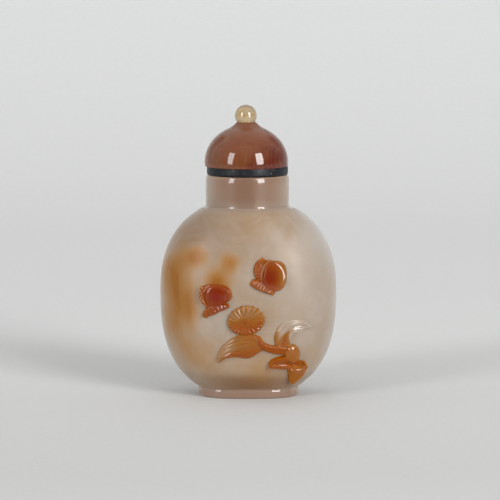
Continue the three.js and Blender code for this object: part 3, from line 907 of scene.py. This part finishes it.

# %% [markdown]
# The stone itself is not even. Soft amber clouds lie inside it on the left. The right shoulder and
# the thin edges are painted paler, as painted light: a painted sheen on the shoulder, and painted
# light coming through the thin edges, where the clouds are cleared. The base, which is solid, is
# painted deeper and browner than the thin wall of the hollow, and a patch on the upper left shoulder
# is painted darker, both as painted shade. These broad tones are also numbers on the verts: patches
# and ramps that fade out with distance. In the neck the cork's brown shadow is painted on, as wide as
# the round stone makes it look.

# %% Clouds in the stone
CLOUDS = [
    ((-11.4, 32.7), 1.9, 1.2),
    ((-14.0, 32.0), 2.4, 0.35),
    ((-17.0, 30.0), 3.0, 0.55),
    ((-17.4, 26.6), 3.4, 0.5),
    ((-14.6, 24.8), 3.6, 0.5),
    ((-14.6, 20.8), 3.2, 0.7),
    ((-17.0, 17.0), 3.6, 0.35),
    ((-14.5, 12.6), 5.0, 0.25),
    ((-11.0, 9.0), 4.5, 0.2),
    ((-7.2, 26.9), 2.8, 0.9),
    ((-4.0, 31.6), 2.1, 0.65),
    ((4.5, 7.4), 4.0, 0.25),
    ((-1.5, 8.0), 4.5, 0.2),
]
BASE_SHADE_X = 1.0
BASE_SHADE_SPREAD = 8.0
LEFT_SHOULDER_SHADE_X = -11.0
LEFT_SHOULDER_SHADE_Z = 37.5
LEFT_SHOULDER_SHADE_REACH = 8.0
LEFT_SHOULDER_SHADE_STRENGTH = 0.42
THIN_EDGE = (0.9, 1.0)
EDGE_CLEARING = 0.4
EDGE_PAINTED_LIGHT = 0.3
SHOULDER_PAINTED_SHEEN = 0.6
SHOULDER_SHEEN_X = (8.0, 17.0)
SHOULDER_SHEEN_Z = (27.0, 37.0)
FRONT_FADE_Y = (-4.0, 3.0)
BACK_CLOUD = 0.25
FOOT_TONE_RUN = (BODY_START_Z - 1.3, BODY_START_Z + 0.3)
NECK_TONE_RUN = (NECK_START_Z - 1.5, NECK_START_Z + 1.0)
POLISHED_NECK_Z = NECK_START_Z - 0.4
POLISH_RISE = 0.2
SOLID_BASE_RISE = (4.5, 7.2)
BASE_SIDE_SHADE = 0.35
CORK_SHADOW_RUN = (5.0, 8.6)
CORK_SHADOW_RISE = (43.6, 45.4)


def fading(distance, reach):
    return np.exp(-((distance / reach) ** 2))


def cloudiness(x, z):
    total = np.zeros_like(x)
    for centre, reach, strength in CLOUDS:
        total += strength * fading(np.hypot(x - centre[0], z - centre[1]), reach)
    return np.clip(total, 0, 1)


x, y, z = coordinates(bottle_mesh).T
facing_front = 1 - smooth_step(*FRONT_FADE_Y, y)
out_to_edge = np.abs(x) / body_half_width(np.clip(z, BODY_START_Z, NECK_START_Z))
thin_edge = smooth_step(*THIN_EDGE, out_to_edge)
# The clouds are also cleared at the thin edges, as part of the painted light there.
seen_cloud = (BACK_CLOUD + (1 - BACK_CLOUD) * facing_front) * (1 - EDGE_CLEARING * thin_edge)
tones["cloud"] = cloudiness(x, z) * seen_cloud
# Painted light: the thin edges and the right shoulder are painted paler, with a painted sheen on the
# shoulder and painted light coming through the edges.
shoulder = smooth_step(*SHOULDER_SHEEN_X, x) * smooth_step(*SHOULDER_SHEEN_Z, z)
tones["painted_light"] = np.clip(EDGE_PAINTED_LIGHT * thin_edge + SHOULDER_PAINTED_SHEEN * shoulder, 0, 1)
tones["foot"] = 1 - smooth_step(*FOOT_TONE_RUN, z)
# Painted shade: the solid base is painted darker brown, darkest near the middle, and a patch of painted
# shade darkens the upper left shoulder.
solid_base = (1 - smooth_step(*SOLID_BASE_RISE, z)) * (1 - tones["foot"])
shade = BASE_SIDE_SHADE + (1 - BASE_SIDE_SHADE) * fading(x - BASE_SHADE_X, BASE_SHADE_SPREAD)
left_shoulder_shade = LEFT_SHOULDER_SHADE_STRENGTH * fading(np.hypot(x - LEFT_SHOULDER_SHADE_X, z - LEFT_SHOULDER_SHADE_Z), LEFT_SHOULDER_SHADE_REACH)
tones["base"] = np.maximum(solid_base * shade, left_shoulder_shade)
tones["neck"] = smooth_step(*NECK_TONE_RUN, z)
# Painted shadow: the cork seen through the neck is painted on as a brown patch.
beside_cork = smooth_step(*CORK_SHADOW_RUN, np.abs(x - NECK_SHIFT_X))
tones["cork_shadow"] = (1 - beside_cork) * smooth_step(*CORK_SHADOW_RISE, z)
polished = (z > POLISHED_NECK_Z) | (z < BODY_START_Z)
carving_polish = tones.pop("gloss") * np.clip(tones["height"] / POLISH_RISE, 0, 1)
tones["polish"] = np.where(polished, 1.0, carving_polish)
print("cloudy verts:", int((tones["cloud"] > 0.2).sum()))

# %% [markdown]
# A helper turns a finished bmesh into an object: it is scaled from millimetres to metres, shaded
# smooth, given its material, tied to the one body of the part, and the imported solid that it
# replaces is hidden.

# %% From bmesh to piece


def finish_piece(mesh, name, node, material, values=None):
    bmesh.ops.scale(mesh, vec=(MM, MM, MM), verts=mesh.verts)
    for face in mesh.faces:
        face.smooth = True
    for label, numbers in (values or {}).items():
        layer = mesh.verts.layers.float.new(label)
        for vert, number in zip(mesh.verts, numbers):
            vert[layer] = float(number)
    data = bpy.data.meshes.new(name)
    mesh.to_mesh(data)
    mesh.free()
    data.materials.append(material)
    piece = bpy.data.objects.new(name, data)
    scene.collection.objects.link(piece)
    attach(piece, "root")
    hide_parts(node)
    triangles = sum(len(polygon.vertices) - 2 for polygon in data.polygons)
    print(f"{name}: {len(data.vertices)} verts, {triangles} triangles")


print("piece helper ready")

# %% [markdown]
# Materials are node trees. A few short helpers keep them readable: one sets or links the inputs of
# a node, one mixes two colours, one reads a number from the verts. Colours are written as they look
# on a screen and turned into the linear values that the renderer works with.

# %% Node helpers


def screen_colour(red, green, blue):
    """Linear values of a colour that is written from 0 to 255, by the sRGB rule."""

    def linear(value):
        value = value / 255
        return value / 12.92 if value <= 0.04045 else ((value + 0.055) / 1.055) ** 2.4

    return (linear(red), linear(green), linear(blue), 1.0)


def new_material(name):
    material = bpy.data.materials.new(name)
    material.use_nodes = True
    tree = material.node_tree
    return material, tree, tree.nodes["Principled BSDF"]


def set_inputs(tree, node, inputs):
    """Sets each input to its value, or links it where the value is another node's output."""
    for key, value in inputs.items():
        if isinstance(value, bpy.types.NodeSocket):
            tree.links.new(value, node.inputs[key])
        else:
            node.inputs[key].default_value = value


def add_node(tree, kind, inputs, **settings):
    node = tree.nodes.new(kind)
    for key, value in settings.items():
        setattr(node, key, value)
    set_inputs(tree, node, inputs)
    return node


def object_place(tree):
    return add_node(tree, "ShaderNodeTexCoord", {}).outputs["Object"]


def split_axes(tree, place):
    return add_node(tree, "ShaderNodeSeparateXYZ", {0: place}).outputs


def vert_value(tree, label):
    return add_node(tree, "ShaderNodeAttribute", {}, attribute_name=label).outputs["Fac"]


def mix_colour(tree, share, first, second):
    inputs = {0: share, 6: first, 7: second}
    return add_node(tree, "ShaderNodeMix", inputs, data_type="RGBA").outputs[2]


def map_range(tree, value, from_low, from_high, to_low=0, to_high=1):
    inputs = {0: value, 1: from_low, 2: from_high, 3: to_low, 4: to_high}
    return add_node(tree, "ShaderNodeMapRange", inputs, clamp=True).outputs[0]


def maths(tree, operation, first, second=0):
    return add_node(tree, "ShaderNodeMath", {0: first, 1: second}, operation=operation).outputs[0]


def noise(tree, place, scale, detail, roughness=0.5, distortion=0.0):
    inputs = {"Vector": place, "Scale": scale, "Detail": detail}
    inputs.update({"Roughness": roughness, "Distortion": distortion})
    return add_node(tree, "ShaderNodeTexNoise", inputs).outputs["Fac"]


def bumps(tree, height, strength, distance):
    inputs = {"Height": height, "Strength": strength, "Distance": distance}
    return add_node(tree, "ShaderNodeBump", inputs).outputs["Normal"]


print("node helpers ready")

# %% [markdown]
# Chalcedony is milky: light goes in, scatters and comes out again a few millimetres away, and some
# goes right through. Subsurface scattering gives the milk, and a share of rough transmission lets
# the cork and the light behind show in the neck and at the edges. Painted tones add to this: the
# cork's shadow, the light at the thin edges, a sheen on the right shoulder and the shade of the base
# are painted into the colour. The clouds turn from tan to amber as they thicken, in upright streaks.
# The ground of the body was left with a soft satin face, while the carving, the neck and the foot
# were polished.

# %% Stone of the bottle
MILKY_GREY = screen_colour(186, 173, 159)
MILKY_WARM = screen_colour(178, 148, 116)
MILKY_COOL = screen_colour(188, 178, 168)
MILKY_WISP = screen_colour(200, 185, 170)
# Painted light: the pale colour of the thin edges and the painted sheen on the right shoulder.
MILKY_PAINTED_LIGHT = screen_colour(202, 196, 190)
CLOUD_TAN = screen_colour(196, 153, 94)
CLOUD_AMBER = screen_colour(168, 106, 0)
THIN_AMBER = screen_colour(150, 98, 28)
SKIN_AMBER = screen_colour(146, 76, 0)
SKIN_CRIMSON = screen_colour(122, 18, 0)
# Painted shade for the solid base and the upper left shoulder.
BASE_SHADE_BROWN = screen_colour(129, 91, 58)
FOOT_MAUVE = screen_colour(158, 129, 111)
NECK_MILK = screen_colour(190, 164, 143)
# Painted shadow of the cork seen through the neck.
CORK_SHADOW_BROWN = screen_colour(180, 141, 114)
# Some of these tones are painted light and shade: light at the thin edges, sheen on the right shoulder,
# shade on the base and the upper left shoulder, and the cork's shadow in the neck.
BROAD_TONES = {
    "painted_light": MILKY_PAINTED_LIGHT,
    "base": BASE_SHADE_BROWN,
    "foot": FOOT_MAUVE,
    "neck": NECK_MILK,
    "cork_shadow": CORK_SHADOW_BROWN,
}
COOL_SIDE_X = (9 * MM, 18 * MM)
COOL_SHARE = 0.5
WISP_SHARE = 0.5
STREAK_SQUASH = (1.0, 1.0, 0.4)
QUARTZ_IOR = 1.54
POLISH_RUN = (0, 0.3)
SATIN_SPECULAR = 0.3
SATIN_SHEEN = 0.35
WALL_CLEAR = 0.3
NECK_CLEARER = 0.3
SKIN_CLEAR = 0.2
MILK_SPREAD = 1.0 * MM
SKIN_SPREAD = 0.4 * MM


def milky_ground(tree, place, wisps):
    drift = noise(tree, place, scale=55, detail=3, roughness=0.55, distortion=0.6)
    colour = mix_colour(tree, map_range(tree, drift, 0.35, 0.65), MILKY_GREY, MILKY_WARM)
    cool = map_range(tree, split_axes(tree, place)["X"], *COOL_SIDE_X, 0, COOL_SHARE)
    colour = mix_colour(tree, cool, colour, MILKY_COOL)
    colour = mix_colour(tree, map_range(tree, wisps, 0.45, 0.7, 0, WISP_SHARE), colour, MILKY_WISP)
    # The broad tones mix in painted light and shade as well as the stone's own tones.
    for label, tone in BROAD_TONES.items():
        colour = mix_colour(tree, vert_value(tree, label), colour, tone)
    return colour


def clouded(tree, place, colour):
    squash = {0: place, 1: STREAK_SQUASH}
    upright = add_node(tree, "ShaderNodeVectorMath", squash, operation="MULTIPLY").outputs[0]
    streaks = noise(tree, upright, scale=330, detail=4)
    patchy = map_range(tree, streaks, 0.35, 0.65, 0.8, 1.2)
    cloud = maths(tree, "MULTIPLY", vert_value(tree, "cloud"), patchy)
    colour = mix_colour(tree, map_range(tree, cloud, 0, 0.7), colour, CLOUD_TAN)
    return mix_colour(tree, map_range(tree, cloud, 0.15, 0.9), colour, CLOUD_AMBER)


def skinned(tree, amber, wisps, colour):
    colour = mix_colour(tree, map_range(tree, amber, 0, 0.4), colour, THIN_AMBER)
    skin = maths(tree, "MULTIPLY", amber, map_range(tree, wisps, 0.3, 0.7, 0.92, 1.04))
    colour = mix_colour(tree, map_range(tree, skin, 0.35, 0.95), colour, SKIN_AMBER)
    return mix_colour(tree, vert_value(tree, "crimson"), colour, SKIN_CRIMSON)


def clearness(tree, amber):
    clear = maths(tree, "MULTIPLY", vert_value(tree, "neck"), NECK_CLEARER)
    clear = maths(tree, "ADD", clear, WALL_CLEAR)
    return maths(tree, "MULTIPLY", clear, map_range(tree, amber, 0, 0.6, 1, SKIN_CLEAR))


def chalcedony():
    material, tree, stone = new_material("chalcedony")
    place = object_place(tree)
    wisps = noise(tree, place, scale=150, detail=5, roughness=0.6, distortion=1.6)
    amber = vert_value(tree, "amber")
    polish = vert_value(tree, "polish")
    colour = clouded(tree, place, milky_ground(tree, place, wisps))
    finish = {
        "Base Color": skinned(tree, amber, wisps, colour),
        "Roughness": 0.4,
        "IOR": QUARTZ_IOR,
        "Specular IOR Level": map_range(tree, polish, *POLISH_RUN, SATIN_SPECULAR, 0),
        "Coat Weight": polish,
        "Coat Roughness": 0.045,
        "Sheen Weight": map_range(tree, polish, *POLISH_RUN, SATIN_SHEEN, 0),
        "Sheen Roughness": 0.35,
        "Subsurface Weight": 1.0,
        "Subsurface Radius": (1.0, 0.8, 0.65),
        "Subsurface Scale": map_range(tree, amber, 0, 1, MILK_SPREAD, SKIN_SPREAD),
        "Transmission Weight": clearness(tree, amber),
    }
    set_inputs(tree, stone, finish)
    return material


finish_piece(bottle_mesh, "bottle_stone", "bottle", chalcedony(), tones)

# %% [markdown]
# The stopper is four turned pieces. The dome is half an ellipsoid on a short skirt, drawn up at the
# top into a small flat seat for the bead. It is carnelian, brown on one side and redder on the
# other, with fine bands and a few pale healed cracks.

# %% Dome of the stopper
COLLAR_HEIGHT = 1.9
COLLAR_TOP_Z = LIP_Z + COLLAR_HEIGHT
DOME_RADIUS = 9.47
DOME_RISE = 8.45
DOME_SKIRT = 0.9
DOME_EDGE = 0.12
DOME_INSET = 0.05
DOME_THROAT_RADIUS = 4.2
DOME_THROAT_BEND = 0.4
DOME_SEAT_RADIUS = 2.35
DOME_SEAT_BEVEL = (0.1, 0.15)
DOME_SEAT_Z = 62.0
DOME_SHIFT_X = -0.45
STOPPER_SECTORS = 128
CARNELIAN_BROWN = screen_colour(117, 67, 33)
CARNELIAN_RED = screen_colour(90, 19, 4)
CARNELIAN_HAZE = screen_colour(126, 77, 52)
CARNELIAN_BAND = screen_colour(136, 74, 48)
CARNELIAN_CRACK = screen_colour(170, 110, 84)
RED_SIDE_X = (-6 * MM, 7 * MM)
RED_LOW_Z = (59 * MM, 53 * MM)
RED_LOW_GAIN = 0.35
CRACK_WIDTH = 0.014


def dome_outline(steps=40):
    widest = COLLAR_TOP_Z + DOME_SKIRT
    under = [(0, COLLAR_TOP_Z), (DOME_RADIUS / 2, COLLAR_TOP_Z)]
    corner = (DOME_RADIUS - DOME_INSET - DOME_EDGE, COLLAR_TOP_Z + DOME_EDGE)
    edge = arc(corner, (DOME_EDGE, DOME_EDGE), -90, 0)
    last = math.degrees(math.acos(DOME_THROAT_RADIUS / DOME_RADIUS))
    cap = arc((0, widest), (DOME_RADIUS, DOME_RISE), 0, last, steps)
    throat_z = cap[-1][1]
    throat_rise = DOME_SEAT_Z - DOME_SEAT_BEVEL[1] - throat_z
    share = np.linspace(0, 1, 9)[1:]
    throat_radii = DOME_THROAT_RADIUS + (DOME_SEAT_RADIUS - DOME_THROAT_RADIUS) * share
    throat_levels = throat_z + throat_rise * ((1 - DOME_THROAT_BEND) * share + DOME_THROAT_BEND * share**2)
    throat = list(zip(throat_radii, throat_levels))
    seat = [(DOME_SEAT_RADIUS - DOME_SEAT_BEVEL[0], DOME_SEAT_Z), (0, DOME_SEAT_Z)]
    return under + edge + cap + throat + seat


def carnelian():
    material, tree, gem = new_material("carnelian")
    place = object_place(tree)
    axes = split_axes(tree, place)
    side = map_range(tree, axes["X"], *RED_SIDE_X)
    low = map_range(tree, axes["Z"], *RED_LOW_Z, 0, RED_LOW_GAIN)
    blotch = noise(tree, place, scale=160, detail=4, roughness=0.6, distortion=1.0)
    lean = maths(tree, "ADD", side, map_range(tree, blotch, 0.3, 0.7, -0.3, 0.3))
    red = map_range(tree, maths(tree, "ADD", lean, low), 0.6, 1.2)
    colour = mix_colour(tree, red, CARNELIAN_BROWN, CARNELIAN_RED)
    haze = map_range(tree, noise(tree, place, scale=90, detail=2), 0.4, 0.7, 0, 0.3)
    colour = mix_colour(tree, haze, colour, CARNELIAN_HAZE)
    waves = {"Vector": place, "Scale": 330, "Distortion": 5, "Detail": 2}
    bands = add_node(tree, "ShaderNodeTexWave", waves).outputs["Fac"]
    colour = mix_colour(tree, map_range(tree, bands, 0.6, 1, 0, 0.22), colour, CARNELIAN_BAND)
    healed = noise(tree, place, scale=220, detail=1, distortion=0.8)
    seam = maths(tree, "ABSOLUTE", maths(tree, "SUBTRACT", healed, 0.5))
    crack = maths(tree, "MULTIPLY", map_range(tree, seam, 0, CRACK_WIDTH, 0.3, 0), side)
    finish = {
        "Base Color": mix_colour(tree, crack, colour, CARNELIAN_CRACK),
        "Roughness": 0.05,
        "IOR": QUARTZ_IOR,
        "Subsurface Weight": 1.0,
        "Subsurface Radius": (1.0, 0.35, 0.2),
        "Subsurface Scale": 1.2 * MM,
    }
    set_inputs(tree, gem, finish)
    return material


def turned_piece(outline, sectors, shift_x, name, node, slot, material):
    mesh = spin_outline(outline, sectors)
    bmesh.ops.translate(mesh, vec=(shift_x, 0, 0), verts=mesh.verts)
    finish_piece(mesh, name, node, material)


stopper_dome = ("dome_cap", "stopper_dome", "carnelian", carnelian())
turned_piece(dome_outline(), STOPPER_SECTORS, DOME_SHIFT_X, *stopper_dome)

# %% [markdown]
# The collar is a thin black disc between the dome and the lip. It is worn: small chips and pale
# scuffs break its edge, and it has a dull blue-black shine.

# %% Collar
COLLAR_RADIUS = 9.2
COLLAR_EDGE = 0.45
COLLAR_TOP_EDGE = 0.12
COLLAR_BLACK = screen_colour(4, 7, 14)
COLLAR_SCUFF = screen_colour(44, 50, 66)
COLLAR_CHIP = screen_colour(150, 146, 140)


def collar_outline():
    low = (COLLAR_RADIUS - COLLAR_EDGE, LIP_Z + COLLAR_EDGE)
    high = (COLLAR_RADIUS - COLLAR_TOP_EDGE, COLLAR_TOP_Z - COLLAR_TOP_EDGE)
    under = [(0, LIP_Z), (COLLAR_RADIUS / 2, LIP_Z)]
    foot_edge = arc(low, (COLLAR_EDGE, COLLAR_EDGE), -90, 0)
    wall = [(COLLAR_RADIUS, LIP_Z + COLLAR_HEIGHT * share) for share in (0.4, 0.6, 0.8)]
    top_edge = arc(high, (COLLAR_TOP_EDGE, COLLAR_TOP_EDGE), 0, 90)
    return under + foot_edge + wall + top_edge + [(COLLAR_RADIUS / 2, COLLAR_TOP_Z), (0, COLLAR_TOP_Z)]


def black_collar():
    material, tree, horn = new_material("black_collar")
    place = object_place(tree)
    scuffs = noise(tree, place, scale=900, detail=6, roughness=0.7)
    specks = noise(tree, place, scale=2600, detail=2)
    colour = mix_colour(tree, map_range(tree, scuffs, 0.5, 0.75, 0, 0.5), COLLAR_BLACK, COLLAR_SCUFF)
    chips = map_range(tree, specks, 0.68, 0.74, 0, 0.5)
    finish = {
        "Base Color": mix_colour(tree, chips, colour, COLLAR_CHIP),
        "Roughness": map_range(tree, scuffs, 0.3, 0.7, 0.3, 0.6),
        "Specular IOR Level": 0.38,
        "Normal": bumps(tree, scuffs, strength=0.35, distance=0.1 * MM),
    }
    set_inputs(tree, horn, finish)
    return material


stopper_collar = ("collar_disc", "stopper_collar", "black_collar", black_collar())
turned_piece(collar_outline(), STOPPER_SECTORS, NECK_SHIFT_X, *stopper_collar)

# %% [markdown]
# The bead on top is a clear amber-coloured ball with a milky heart, ground flat where it sits on
# the dome.

# %% Bead
BEAD_RADIUS = 2.52
BEAD_CENTRE_Z = 63.48
BEAD_SHIFT_X = -0.55
BEAD_FLAT = 1.0
SMALL_SECTORS = 64
BEAD_CREAM = screen_colour(222, 204, 170)
BEAD_AMBER = screen_colour(212, 172, 112)


def bead_outline(steps=32):
    start = -math.degrees(math.asin((BEAD_CENTRE_Z - DOME_SEAT_Z) / BEAD_RADIUS))
    ball = arc((0, BEAD_CENTRE_Z), (BEAD_RADIUS, BEAD_RADIUS), start, 90, steps)
    return [(0, DOME_SEAT_Z), (BEAD_FLAT, DOME_SEAT_Z)] + ball[:-1] + [(0, BEAD_CENTRE_Z + BEAD_RADIUS)]


def amber_bead():
    material, tree, amber = new_material("amber_bead")
    swirl = noise(tree, object_place(tree), scale=330, detail=4, roughness=0.6, distortion=1.5)
    finish = {
        "Base Color": mix_colour(tree, map_range(tree, swirl, 0.35, 0.65), BEAD_CREAM, BEAD_AMBER),
        "Roughness": 0.12,
        "IOR": QUARTZ_IOR,
        "Coat Weight": 1.0,
        "Coat Roughness": 0.015,
        "Subsurface Weight": 1.0,
        "Subsurface Radius": (1.0, 0.8, 0.5),
        "Subsurface Scale": 1.2 * MM,
        "Transmission Weight": 0.8,
    }
    set_inputs(tree, amber, finish)
    return material


stopper_bead = ("finial_bead", "stopper_bead", "amber_bead", amber_bead())
turned_piece(bead_outline(), SMALL_SECTORS, BEAD_SHIFT_X, *stopper_bead)

# %% [markdown]
# Under the collar a cork sits in the bore. Through the neck it shows only as a brown shadow, which is
# also painted on the stone, but it is there when the stopper is lifted, so it gets its pores.

# %% Cork
CORK_RADIUS = 3.8
CORK_END_RADIUS = 3.55
CORK_EDGE = 0.3
CORK_LENGTH = 6.0
CORK_FLAT = 1.8
CORK_TAN = screen_colour(122, 78, 46)
CORK_BROWN = screen_colour(88, 52, 30)
CORK_PORE = screen_colour(48, 28, 16)


def cork_outline():
    low = LIP_Z - CORK_LENGTH
    corner = (CORK_END_RADIUS - CORK_EDGE, low + CORK_EDGE)
    edge = arc(corner, (CORK_EDGE, CORK_EDGE), -90, 0)
    levels = np.linspace(low + CORK_EDGE, LIP_Z, 14)[1:]
    slope = (CORK_RADIUS - CORK_END_RADIUS) / (CORK_LENGTH - CORK_EDGE)
    wall = [(CORK_END_RADIUS + slope * (z - low - CORK_EDGE), float(z)) for z in levels]
    return [(0, low), (CORK_FLAT, low)] + edge + wall + [(CORK_FLAT, LIP_Z), (0, LIP_Z)]


def cork_grain():
    material, tree, cork = new_material("cork")
    place = object_place(tree)
    grain = noise(tree, place, scale=900, detail=5, roughness=0.65)
    cells = {"Vector": place, "Scale": 1100}
    pores = add_node(tree, "ShaderNodeTexVoronoi", cells).outputs["Distance"]
    colour = mix_colour(tree, map_range(tree, grain, 0.35, 0.65), CORK_TAN, CORK_BROWN)
    finish = {
        "Base Color": mix_colour(tree, map_range(tree, pores, 0.12, 0.3, 0.7, 0), colour, CORK_PORE),
        "Roughness": 0.9,
        "Normal": bumps(tree, pores, strength=0.6, distance=0.15 * MM),
    }
    set_inputs(tree, cork, finish)
    return material


stopper_cork = ("cork_plug", "stopper_cork", "cork", cork_grain())
turned_piece(cork_outline(), SMALL_SECTORS, NECK_SHIFT_X, *stopper_cork)

# %% [markdown]
# The bottle stands on a pale sheet that curves up behind it, so there is no horizon. The sheet is
# one strip: a line along the floor, round the curve and up, extruded sideways. Its colour is painted
# lighter towards the back, as painted light. In front, outside the picture, it is painted dark, as
# painted shade, so that the polished faces have no bright floor to mirror.

# %% Sweep
SWEEP_FRONT = -1.8
SWEEP_BEND_Y = 0.35
SWEEP_BEND_RADIUS = 0.9
SWEEP_TOP = 2.2
SWEEP_HALF_WIDTH = 2.0
PAPER_PAINTED_SHADE_RUN = (-0.36, -0.16)
PAPER_NEAR_RUN = (-0.1, 0.1)
PAPER_FAR_RUN = (0.05, 0.9)
# Painted shade: the dark paper in front. Painted light: the paper behind and far back is lighter.
PAPER_PAINTED_SHADE = screen_colour(52, 52, 52)
PAPER_NEAR = screen_colour(198, 198, 197)
PAPER_BEHIND_PAINTED_LIGHT = screen_colour(219, 219, 218)
PAPER_FAR_PAINTED_LIGHT = screen_colour(253, 255, 254)


def paper_with_painted_light():
    material, tree, paper = new_material("paper_with_painted_light")
    place = object_place(tree)
    back = split_axes(tree, place)["Y"]
    # Painted light: the paper is painted lighter towards the back. Painted shade: it is painted dark in
    # front.
    colour = mix_colour(tree, map_range(tree, back, *PAPER_NEAR_RUN), PAPER_NEAR, PAPER_BEHIND_PAINTED_LIGHT)
    colour = mix_colour(tree, map_range(tree, back, *PAPER_FAR_RUN), colour, PAPER_FAR_PAINTED_LIGHT)
    colour = mix_colour(tree, map_range(tree, back, *PAPER_PAINTED_SHADE_RUN), PAPER_PAINTED_SHADE, colour)
    fibres = noise(tree, place, scale=700, detail=4, roughness=0.6)
    grain = {0: colour, "Scale": map_range(tree, fibres, 0.3, 0.7, 0.98, 1.02)}
    colour = add_node(tree, "ShaderNodeVectorMath", grain, operation="SCALE").outputs[0]
    set_inputs(tree, paper, {"Base Color": colour, "Roughness": 0.9})
    return material


def sweep_sheet():
    mesh = bmesh.new()
    bend = arc((SWEEP_BEND_Y, SWEEP_BEND_RADIUS), (SWEEP_BEND_RADIUS,) * 2, -90, 0, 24)
    line = [(SWEEP_FRONT, 0.0), *bend, (SWEEP_BEND_Y + SWEEP_BEND_RADIUS, SWEEP_TOP)]
    chain = [mesh.verts.new((-SWEEP_HALF_WIDTH, y, z)) for y, z in line]
    edges = [mesh.edges.new(pair) for pair in zip(chain, chain[1:])]
    wide = bmesh.ops.extrude_edge_only(mesh, edges=edges)
    moved = [item for item in wide["geom"] if isinstance(item, bmesh.types.BMVert)]
    bmesh.ops.translate(mesh, vec=(2 * SWEEP_HALF_WIDTH, 0, 0), verts=moved)
    bmesh.ops.recalc_face_normals(mesh, faces=mesh.faces)
    for face in mesh.faces:
        face.smooth = True
    data = bpy.data.meshes.new("sweep")
    mesh.to_mesh(data)
    mesh.free()
    data.materials.append(paper_with_painted_light())
    sheet = bpy.data.objects.new("sweep", data)
    scene.collection.objects.link(sheet)
    return sheet


sweep = sweep_sheet()
print("sweep:", len(sweep.data.polygons), "faces")

# %% [markdown]
# Two upright softboxes stand left and right in front, from the floor to well above the bottle. They
# give the pairs of small bright windows on the dome, the bead and the lip. The right one is
# stronger, so the soft shadow falls to the left. A weak lamp over the back of the sheet brightens
# the background. A soft sky, brighter overhead, behind and on the left, fills in the rest, as the
# white walls of a studio do.

# %% Light
BOX_DISTANCE = 0.9
BOX_ELEVATION = 15.6
BOX_HEIGHT = 0.61
BACK_LIGHT_PLACE = (0, 0.85, 1.0)
BACK_LIGHT_SIZE = (1.4, 0.6)
BACK_LIGHT_BRIGHTNESS = 0.48
SKY_OVERHEAD = 0.42
SKY_FRONT = 0.1
SKY_BEHIND = 0.48
SKY_LEFT = 0.27
SKY_HIGH_RUN = (0.1, 0.8)
SKY_DEPTH_RUN = (-0.2, 0.6)
SKY_LEFT_RUN = (-0.3, -0.9)


def area_lamp(name, size, brightness):
    """A rectangular lamp whose face has the same brightness at any size."""
    light = bpy.data.lights.new(name, "AREA")
    light.shape = "RECTANGLE"
    light.size, light.size_y = size
    light.energy = brightness * math.pi * size[0] * size[1]
    lamp = bpy.data.objects.new(name, light)
    scene.collection.objects.link(lamp)
    return lamp


def softbox(name, azimuth, width, brightness):
    turn, rise = math.radians(azimuth), math.radians(BOX_ELEVATION)
    away = Vector((math.sin(turn) * math.cos(rise), -math.cos(turn) * math.cos(rise), math.sin(rise)))
    lamp = area_lamp(name, (width, BOX_HEIGHT), brightness)
    lamp.location = Vector((0, 0, TARGET_HEIGHT)) + away * BOX_DISTANCE
    lamp.rotation_euler = away.to_track_quat("Z", "Y").to_euler()


def studio_sky():
    world = bpy.data.worlds.new("studio")
    world.use_nodes = True
    tree = world.node_tree
    axes = split_axes(tree, add_node(tree, "ShaderNodeTexCoord", {}).outputs["Generated"])
    overhead = map_range(tree, axes["Z"], *SKY_HIGH_RUN, 0, SKY_OVERHEAD)
    behind = map_range(tree, axes["Y"], *SKY_DEPTH_RUN, SKY_FRONT, SKY_BEHIND)
    left = map_range(tree, axes["X"], *SKY_LEFT_RUN, 0, SKY_LEFT)
    strength = maths(tree, "ADD", maths(tree, "ADD", overhead, behind), left)
    set_inputs(tree, tree.nodes["Background"], {"Color": (1, 1, 1, 1), "Strength": strength})
    return world


softbox("softbox_right", azimuth=38, width=0.31, brightness=12.8)
softbox("softbox_left", azimuth=-45, width=0.24, brightness=8.1)
back_light = area_lamp("back_light", BACK_LIGHT_SIZE, BACK_LIGHT_BRIGHTNESS)
back_light.location = BACK_LIGHT_PLACE
scene.world = studio_sky()
